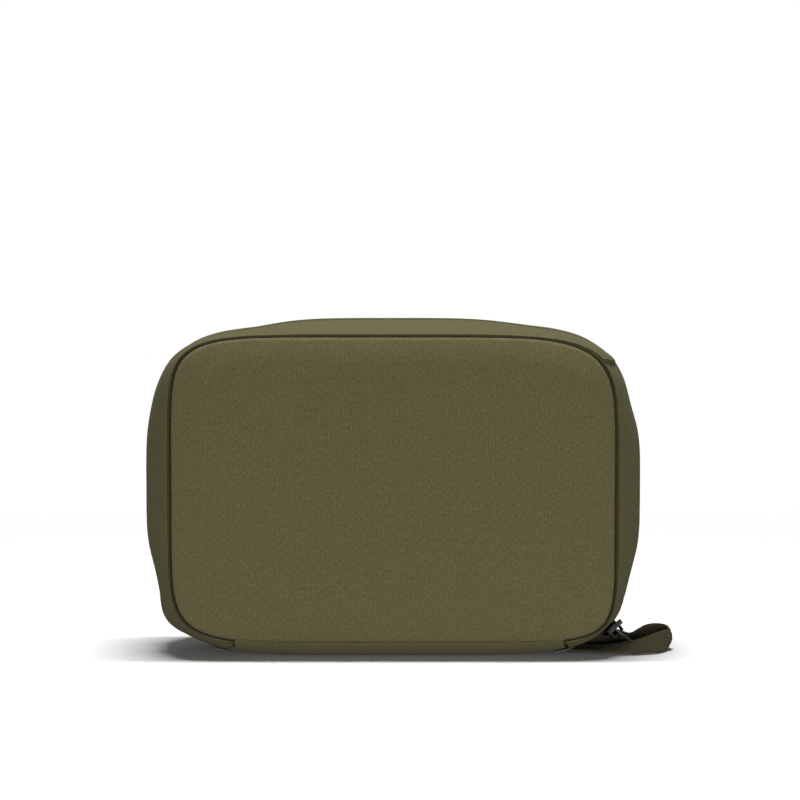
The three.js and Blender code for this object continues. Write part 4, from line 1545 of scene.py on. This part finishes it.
def cable_loops(place: str, count: int, body: str, face_y: float, **sizes: float) -> None:
    """Makes a row of elastic loops, each where the CAD has it.

    Args:
        place: The first word of the loops' names.
        count: How many there are.
        body: The CAD body that they ride on.
        face_y: The depth of the face that they are sewn to.
        sizes: The loops' own sizes, where they differ from ElasticLoop's.
    """
    for name in (f"{place}_cable_loop_{i + 1}" for i in range(count)):
        low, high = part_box(name)
        middle = (low + high) / 2 / MM
        ElasticLoop(name, body, middle.x, middle.z, face_y, **sizes).build()


@dataclass(frozen=True)
class PocketForm:
    """A slip pocket's sheet: flat at its sides and bottom, standing off at its mouth."""

    half_width: float
    bottom: float
    top: float
    face_y: float
    stand: float
    corner: float

    def point(self, u: Array, v: Array, lift: Array | float) -> Array:
        """Gives points of the sheet.

        Args:
            u: From -1 at the left edge to 1 at the right.
            v: From 0 at the bottom to 1 at the mouth.
            lift: How far off the sheet's back the points lie.

        Returns:
            The points.
        """
        rise = np.sin(math.pi / 2 * np.minimum(1, v * 1.5))
        crown = (1 - np.abs(u) ** 6) * rise
        shrink = self.corner * (1 - np.minimum(1, v * 2.2)) ** 2
        x = u * (self.half_width - shrink)
        y = self.face_y - (0.3 + self.stand * crown + lift)
        return np.stack([x, y, mix(self.bottom, self.top, v)], -1)

    def seam(self, side: float, foot: float, count: int, lift: float) -> Array:
        """Gives the line down the left side, along the bottom and up the right side.

        Args:
            side: The share across where the side seams lie.
            foot: The share up where the bottom seam lies.
            count: Points on a side; the bottom has twice as many.
            lift: How far off the sheet's back the line lies.

        Returns:
            The line's points.
        """
        up = np.linspace(foot, 1, count)
        u = np.concatenate([np.full(count, -side), np.linspace(-side, side, 2 * count), np.full(count, side)])
        v = np.concatenate([np.linspace(1, foot, count), np.full(2 * count, foot), up])
        return self.point(u, v, lift)


def net(place: Callable[[Array, Array], Array], wide: float, tall: float, cell: float) -> Stock:
    """Makes an open net of flat diamond bars.

    Args:
        place: Gives points for shares across (-1 to 1) and up (0 to 1).
        wide: The net's width.
        tall: Its height.
        cell: The diamonds' size.

    Returns:
        The net's stock: a sheet of diamonds, each with its hole.
    """
    columns, rows = round(wide / cell), round(tall / cell)
    hole = 0.4
    i, j = (a.ravel() for a in np.meshgrid(np.arange(columns), np.arange(rows), indexing="ij"))
    turn = np.arange(8) * math.pi / 4
    frame_x = np.array([0.5, 0.5, 0.0, -0.5, -0.5, -0.5, 0.0, 0.5])
    frame_y = np.array([0.0, 0.5, 0.5, 0.5, 0.0, -0.5, -0.5, -0.5])
    known: dict[tuple[int, int], int] = {}
    points: list[tuple[float, float]] = []
    faces: list[list[int]] = []

    def keep(x: float, y: float) -> int:
        """Gives a place's number, and numbers it if it's new."""
        key = (round(x * 1000), round(y * 1000))
        if key not in known:
            known[key] = len(points)
            points.append((x, y))
        return known[key]

    for a, b in zip(i, j):
        cx, cy = a + 0.5, b + 0.5
        out = [keep(cx + fx, cy + fy) for fx, fy in zip(frame_x, frame_y)]
        into = [keep(cx + math.cos(t) * hole * 1.15, cy + math.sin(t) * hole) for t in turn]
        faces += [[out[k], out[(k + 1) % 8], into[(k + 1) % 8], into[k]] for k in range(8)]
    flat = np.array(points)
    stock = Stock()
    first = stock.add(place(flat[:, 0] / columns * 2 - 1, flat[:, 1] / rows))
    for f in faces:
        stock.face([first + k for k in f], flat[f] * cell * MM)
    return stock


def open_sheet(stock: Stock, name: str, body: str, node: str) -> bpy.types.Object:
    """Makes a net's piece, with the thickness of its bars.

    Args:
        stock: The net's stock.
        name: The piece's name.
        body: The CAD body that it rides on.
        node: The CAD node that it replaces.

    Returns:
        The dressed net.
    """
    piece = stock.finish(name)
    thick = piece.modifiers.new("thickness", "SOLIDIFY")
    thick.thickness = 0.4 * MM
    thick.offset = 0
    return dress(settle(piece), Finish.NET, body, [node])


def mouth_elastic(name: str, body: str, node: str, form: PocketForm) -> None:
    """Makes the gathered elastic along a pocket's mouth.

    Args:
        name: The piece's name.
        body: The CAD body that it rides on.
        node: The CAD node that it replaces.
        form: The pocket's sheet.
    """
    thickness = 0.9
    low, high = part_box(node)
    u = np.linspace(-1, 1, 221)[:, None]
    tall = (high.z - low.z) / MM
    v = np.array([0, 0.04, 0.2, 0.35, 0.5, 0.65, 0.8, 0.96, 1.0])
    level = np.concatenate([v, v[::-1]])[None, :]
    side = np.concatenate([np.ones(9), np.zeros(9)])[None, :]
    crown = 1 - np.abs(u) ** 6
    pleats = 0.16 * np.sin(u * form.half_width * 2 * math.pi / 2.6)
    gather = pleats * np.sin(math.pi * np.clip(level, 0.04, 0.96))
    round_off = 0.25 * np.abs(2 * level - 1) ** 6
    lift = mix(-0.1 + round_off, thickness + 0.45 - round_off, side) + gather * crown
    y = form.face_y - (0.3 + form.stand * crown + lift)
    z = low.z / MM + tall * level + 0 * y
    stock = Stock().sweep(np.stack([u * form.half_width + 0 * y, y, z], -1))
    dress(stock.finish(name, levels=1), Finish.ELASTIC, body, [node])


@dataclass(frozen=True)
class RoundedBox:
    """A rectangle with rounded corners, standing in the X Z plane."""

    half_width: float
    bottom: float
    top: float
    low_radius: float
    high_radius: float

    def outline(self, count: int, y: float = 0.0) -> Array:
        """Gives points evenly along the edge, from the middle of the bottom.

        Args:
            count: How many points.
            y: Their depth.

        Returns:
            The points.
        """
        made = []
        for cx, cz, r, start in (
            (1, self.bottom + self.low_radius, self.low_radius, -90),
            (1, self.top - self.high_radius, self.high_radius, 0),
            (-1, self.top - self.high_radius, self.high_radius, 90),
            (-1, self.bottom + self.low_radius, self.low_radius, 180),
        ):
            turn = np.radians(np.linspace(start, start + 90, 13))
            x = cx * (self.half_width - r) + r * np.cos(turn)
            made.append(np.stack([x, np.full(13, y), cz + r * np.sin(turn)], -1))
        corners = np.vstack(made)
        start = np.array([[0.0, y, self.bottom]])
        return resample(np.vstack([start, corners]), count, closed=True)

    def face(self, columns: int, rows: int) -> tuple[Array, Array]:
        """Lays a grid over the shape.

        Args:
            columns: Steps across.
            rows: Steps up.

        Returns:
            The grid, and each point's share of the way to the edge.
        """
        u, v, share = spread(columns, rows)
        safe = np.maximum(share, 1e-6)
        middle = (self.bottom + self.top) / 2
        tall = (self.top - self.bottom) / 2
        x, z = u / safe * self.half_width, v / safe * tall
        radius = np.where(z < 0, self.low_radius, self.high_radius)
        cx, cz = self.half_width - radius, tall - radius
        size = x**2 + z**2
        dot = np.abs(x) * cx + np.abs(z) * cz
        root = np.sqrt(np.maximum(dot**2 - size * (cx**2 + cz**2 - radius**2), 0))
        scale = (dot + root) / np.maximum(size, 1e-9)
        cut = (np.abs(x) > cx) & (np.abs(z) > cz) & (scale < 1)
        fit = np.where(cut, scale, 1.0) * share
        return np.stack([x * fit, 0 * x, middle + z * fit], -1), share


def seam_row(name: str, line: Array, up: Sequence[float], body: str, pitch: float = 2.9) -> None:
    """Sews a row of stitches along a line.

    Args:
        name: The piece's name.
        line: The line's points.
        up: The direction that the stitches stand up in.
        body: The CAD body that the row rides on.
        pitch: The distance from stitch to stitch.
    """
    length = np.linalg.norm(np.diff(line, axis=0), axis=1).sum()
    place = resample(line, max(4, round(length / pitch)))
    along = np.gradient(place, axis=0)
    stock = Stock().stamp(place, along, np.array(up, float), (pitch * 0.7, 0.5, 0.4))
    dress(stock.finish(name), Finish.THREAD, body)


# ---- inside the lid -----------------------------------------------------------------------------
@dataclass
class LidPocket:
    """The net pocket in the lid, bound all round and closed by a straight zip."""

    half_width: float = 86.0
    zip_z: float = 116.0
    tooth: tuple[float, float, float] = (2.0, 0.75, 1.1)

    # the border tape's section: share of the way across it, and of the way up off the lining
    TAPE: ClassVar[tuple[tuple[float, float], ...]] = (
        (0, 0.15),
        (0, 0.75),
        (0.1, 1.0),
        (0.5, 0.9),
        (0.9, 1.0),
        (1, 0.75),
        (1, 0.15),
        (0.5, 0.0),
    )

    def build(self) -> None:
        """Makes the net, its binding, the zip's tapes and teeth."""
        low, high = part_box("lid_mesh_pocket")
        y = (low.y + high.y) / 2 / MM
        tall = (high.z - low.z) / MM
        wide = 2 * self.half_width

        def place(u: Array, v: Array) -> Array:
            """Gives the net's points, bowed a little towards the inside."""
            bow = 0.5 * (1 - u**2) * np.sin(math.pi * v)
            return np.stack([u * self.half_width, y + bow, low.z / MM + v * tall], -1)

        piece = open_sheet(net(place, wide, tall, 2.6), "lid_pocket_net", "lid", "lid_mesh_pocket")
        self._binding()
        self._zip()

    def _binding(self) -> None:
        """Makes the flat tape round the pocket and its stitching."""
        low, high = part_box("lid_pocket_binding")
        outer = RoundedBox(91.0, 15.0, 128.0, 18.0, 10.0).outline(300)
        hole = nearest(outer, RoundedBox(86.4, 19.6, 122.4, 13.5, 1.0).outline(2400))
        rings = []
        for share, lift in self.TAPE:
            ring = mix(outer, hole, share)
            ring[:, 1] = mix(low.y, high.y, lift) / MM
            rings.append(ring)
        piece = Stock().hoop(rings).finish("lid_pocket_border", levels=1)
        dress(piece, Finish.BINDING, "lid", ["lid_pocket_binding"])
        line = mix(outer, hole, 0.5)
        line[:, 1] = high.y / MM + 0.05
        seam_row("lid_pocket_stitching", np.vstack([line, line[:1]]), (0, 1, 0), "lid")

    def _zip(self) -> None:
        """Makes the straight zip's tapes and teeth."""
        for name, sign in (("lower", -1), ("upper", 1)):
            low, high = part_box(f"lid_pocket_tape_{name}")
            z, x = np.meshgrid(np.linspace(low.z, high.z, 5) / MM, np.linspace(low.x, high.x, 90) / MM)
            wave = 0.06 * ripple(x / 9, z / 9, 7.0)
            outer = np.stack([x, high.y / MM + wave, z], -1)
            tape = Stock().slab(outer, outer - [0, 0.6, 0]).finish(f"lid_pocket_tape_{name}_woven")
            dress(tape, Finish.ZIP_TAPE, "lid", [f"lid_pocket_tape_{name}"])
            low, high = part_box(f"lid_pocket_coil_{name}")
            x = np.arange(low.x / MM + 1, high.x / MM - 1, 1.5) + (0.75 if sign > 0 else 0)
            spot = np.stack([x, 0 * x + (low.y + high.y) / 2 / MM, 0 * x + self.zip_z + sign * 0.85], -1)
            teeth = Stock().stamp(spot, np.array([0, 0, 1.0]), np.array([0, 1.0, 0]), self.tooth)
            bar = np.array([[low.x, low.y, low.z], [high.x, low.y, low.z]]) / MM
            section = ((0, 0.3), (0.35, 0.3), (0.35, 1.2), (0, 1.2))
            strip = [[end + [0, dy, dz] for dy, dz in section] for end in bar]
            row = teeth.sweep(np.array(strip)).finish(f"lid_pocket_teeth_{name}")
            dress(row, Finish.COIL, "lid", [f"lid_pocket_coil_{name}"])


# ---- divider ------------------------------------------------------------------------------------
@dataclass
class Divider:
    """The padded flap in the middle: bound edge, slip pocket, cable loops."""

    shape: RoundedBox = field(default_factory=lambda: RoundedBox(88.0, 8.2, 126.0, 26.0, 16.0))
    thickness: float = 2.4
    pocket: PocketForm = PocketForm(80.0, 14.0, 72.0, -1.2, 7.0, 12.0)

    # the front half of the edge tape's section: how far in from the edge, and how far forward
    TAPE: ClassVar[tuple[tuple[float, float], ...]] = (
        (0.0, 0.0),
        (0.25, 0.95),
        (0.9, 1.5),
        (1.8, 1.62),
        (3.4, 1.6),
        (3.7, 1.35),
        (2.5, 1.2),
    )

    def build(self) -> None:
        """Makes the flap and everything on it."""
        grid, share = self.shape.face(64, 44)
        quilt = 0.25 * ripple(grid[..., 0] / 30, grid[..., 2] / 30, 41.0) * (1 - share**8)
        half = self.thickness / 2
        puff = half + 0.1 * (1 - share**4)
        front, back = grid.copy(), grid.copy()
        front[..., 1] = -puff - np.abs(quilt)
        back[..., 1] = puff + np.abs(quilt)
        piece = Stock().slab(front, back, flat=grid[..., [0, 2]] * MM).finish("divider_flap", levels=1)
        dress(piece, Finish.LINING, "divider", ["divider_panel"])
        self._binding()
        self._pocket()
        cable_loops("divider", 4, "divider", -half)

    def _binding(self) -> None:
        """Folds the binding over the flap's edge and sews it."""
        wide = RoundedBox(90.3, 5.9, 128.3, 28.0, 18.0).outline(300)
        inward = unit(nearest(wide, self.shape.outline(2400)) - wide)
        section = [*self.TAPE, *((reach, -y) for reach, y in reversed(self.TAPE[1:]))]
        rings = []
        pull = 0.1 * ripple(np.arange(300) / 3.0, np.zeros(300), 51.0)
        for reach, y in section:
            ring = wide + inward * (reach + pull[:, None] * (reach > 1))
            ring[:, 1] = y
            rings.append(ring)
        piece = Stock().hoop(rings).finish("divider_edge_tape", levels=1)
        dress(piece, Finish.BINDING, "divider", ["divider_binding"])
        for side in Side:
            line = wide + inward * 2.7
            line[:, 1] = side.value * 1.66
            name = f"divider_stitching_{side.prefix}"
            seam_row(name, np.vstack([line, line[:1]]), (0, side.value, 0), "divider")

    def _pocket(self) -> None:
        """Makes the slip pocket with its elastic mouth and side stitching."""
        u, v = np.meshgrid(np.linspace(-1, 1, 49), np.linspace(0, 1, 19))
        sag = 0.5 * ripple(u * 4, v * 2.4, 33.0) * (1 - u**6) * np.sin(math.pi * np.minimum(v, 0.96))
        outer, inner = self.pocket.point(u, v, 0.85 + sag), self.pocket.point(u, v, 0.1 + sag)
        piece = Stock().slab(outer, inner).finish("divider_pocket_sheet", levels=1)
        dress(piece, Finish.LINING, "divider", ["divider_slip_pocket"])
        mouth_elastic("divider_pocket_mouth", "divider", "divider_pocket_elastic", self.pocket)
        seam_row("divider_pocket_stitching", self.pocket.seam(0.985, 0.05, 30, 1.05), (0, -1, 0), "divider")


# ---- rear wall ----------------------------------------------------------------------------------
@dataclass
class RearWall:
    """The net pocket and the cable loops on the back wall."""

    pocket: PocketForm = PocketForm(92.0, 16.0, 80.0, 27.8, 8.0, 14.0)

    # the border tape's section: how far to the side of the net's edge, and how far back
    TAPE: ClassVar[tuple[tuple[float, float], ...]] = (
        (-2.2, 0.2),
        (-2.0, -0.7),
        (0, -0.85),
        (2.0, -0.7),
        (2.2, 0.2),
        (0, 0.3),
    )

    def build(self) -> None:
        """Makes the pocket, its bound bottom, and the loops."""
        wide, tall = 2 * self.pocket.half_width, self.pocket.top - self.pocket.bottom
        sheet = net(lambda u, v: self.pocket.point(u, v, 0.45), wide, tall, 2.6)
        piece = open_sheet(sheet, "rear_pocket_net", "rear_shell", "rear_mesh_pocket")
        mouth_elastic("rear_pocket_mouth", "rear_shell", "rear_pocket_elastic", self.pocket)
        self._edge_tape()
        cable_loops("rear", 5, "rear_shell", 27.8, half=14, rise=8, height=18)

    def _edge_tape(self) -> None:
        """Binds the net's sides and bottom to the wall."""
        line = resample(self.pocket.seam(1.0, 0.0, 40, 0.45), 200)
        side = np.cross(unit(np.gradient(line, axis=0)), [0, 1.0, 0])
        rows = [line + side * out + np.array([0, deep, 0]) for out, deep in self.TAPE]
        piece = Stock().sweep(np.stack(rows, 1)).finish("rear_pocket_border", levels=1)
        dress(piece, Finish.BINDING, "rear_shell")
        seam_row("rear_pocket_stitching", line - [0, 1.0, 0], (0, -1, 0), "rear_shell")


def main() -> None:
    """Builds the studio and every piece of the pouch, in order."""
    logging.basicConfig(level=logging.INFO, format="%(message)s")
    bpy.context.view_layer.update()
    Studio().build()
    form = PouchForm.from_frame()
    for side in Side:
        PaddedPanel(form, side).build()
        Gusset(form, side).build()
        InnerShell(form, side).build()
    Base(form).build()
    MainZip(form).build()
    GrabLoop().build()
    LidPocket().build()
    Divider().build()
    RearWall().build()


if __name__ == "__main__":
    main()
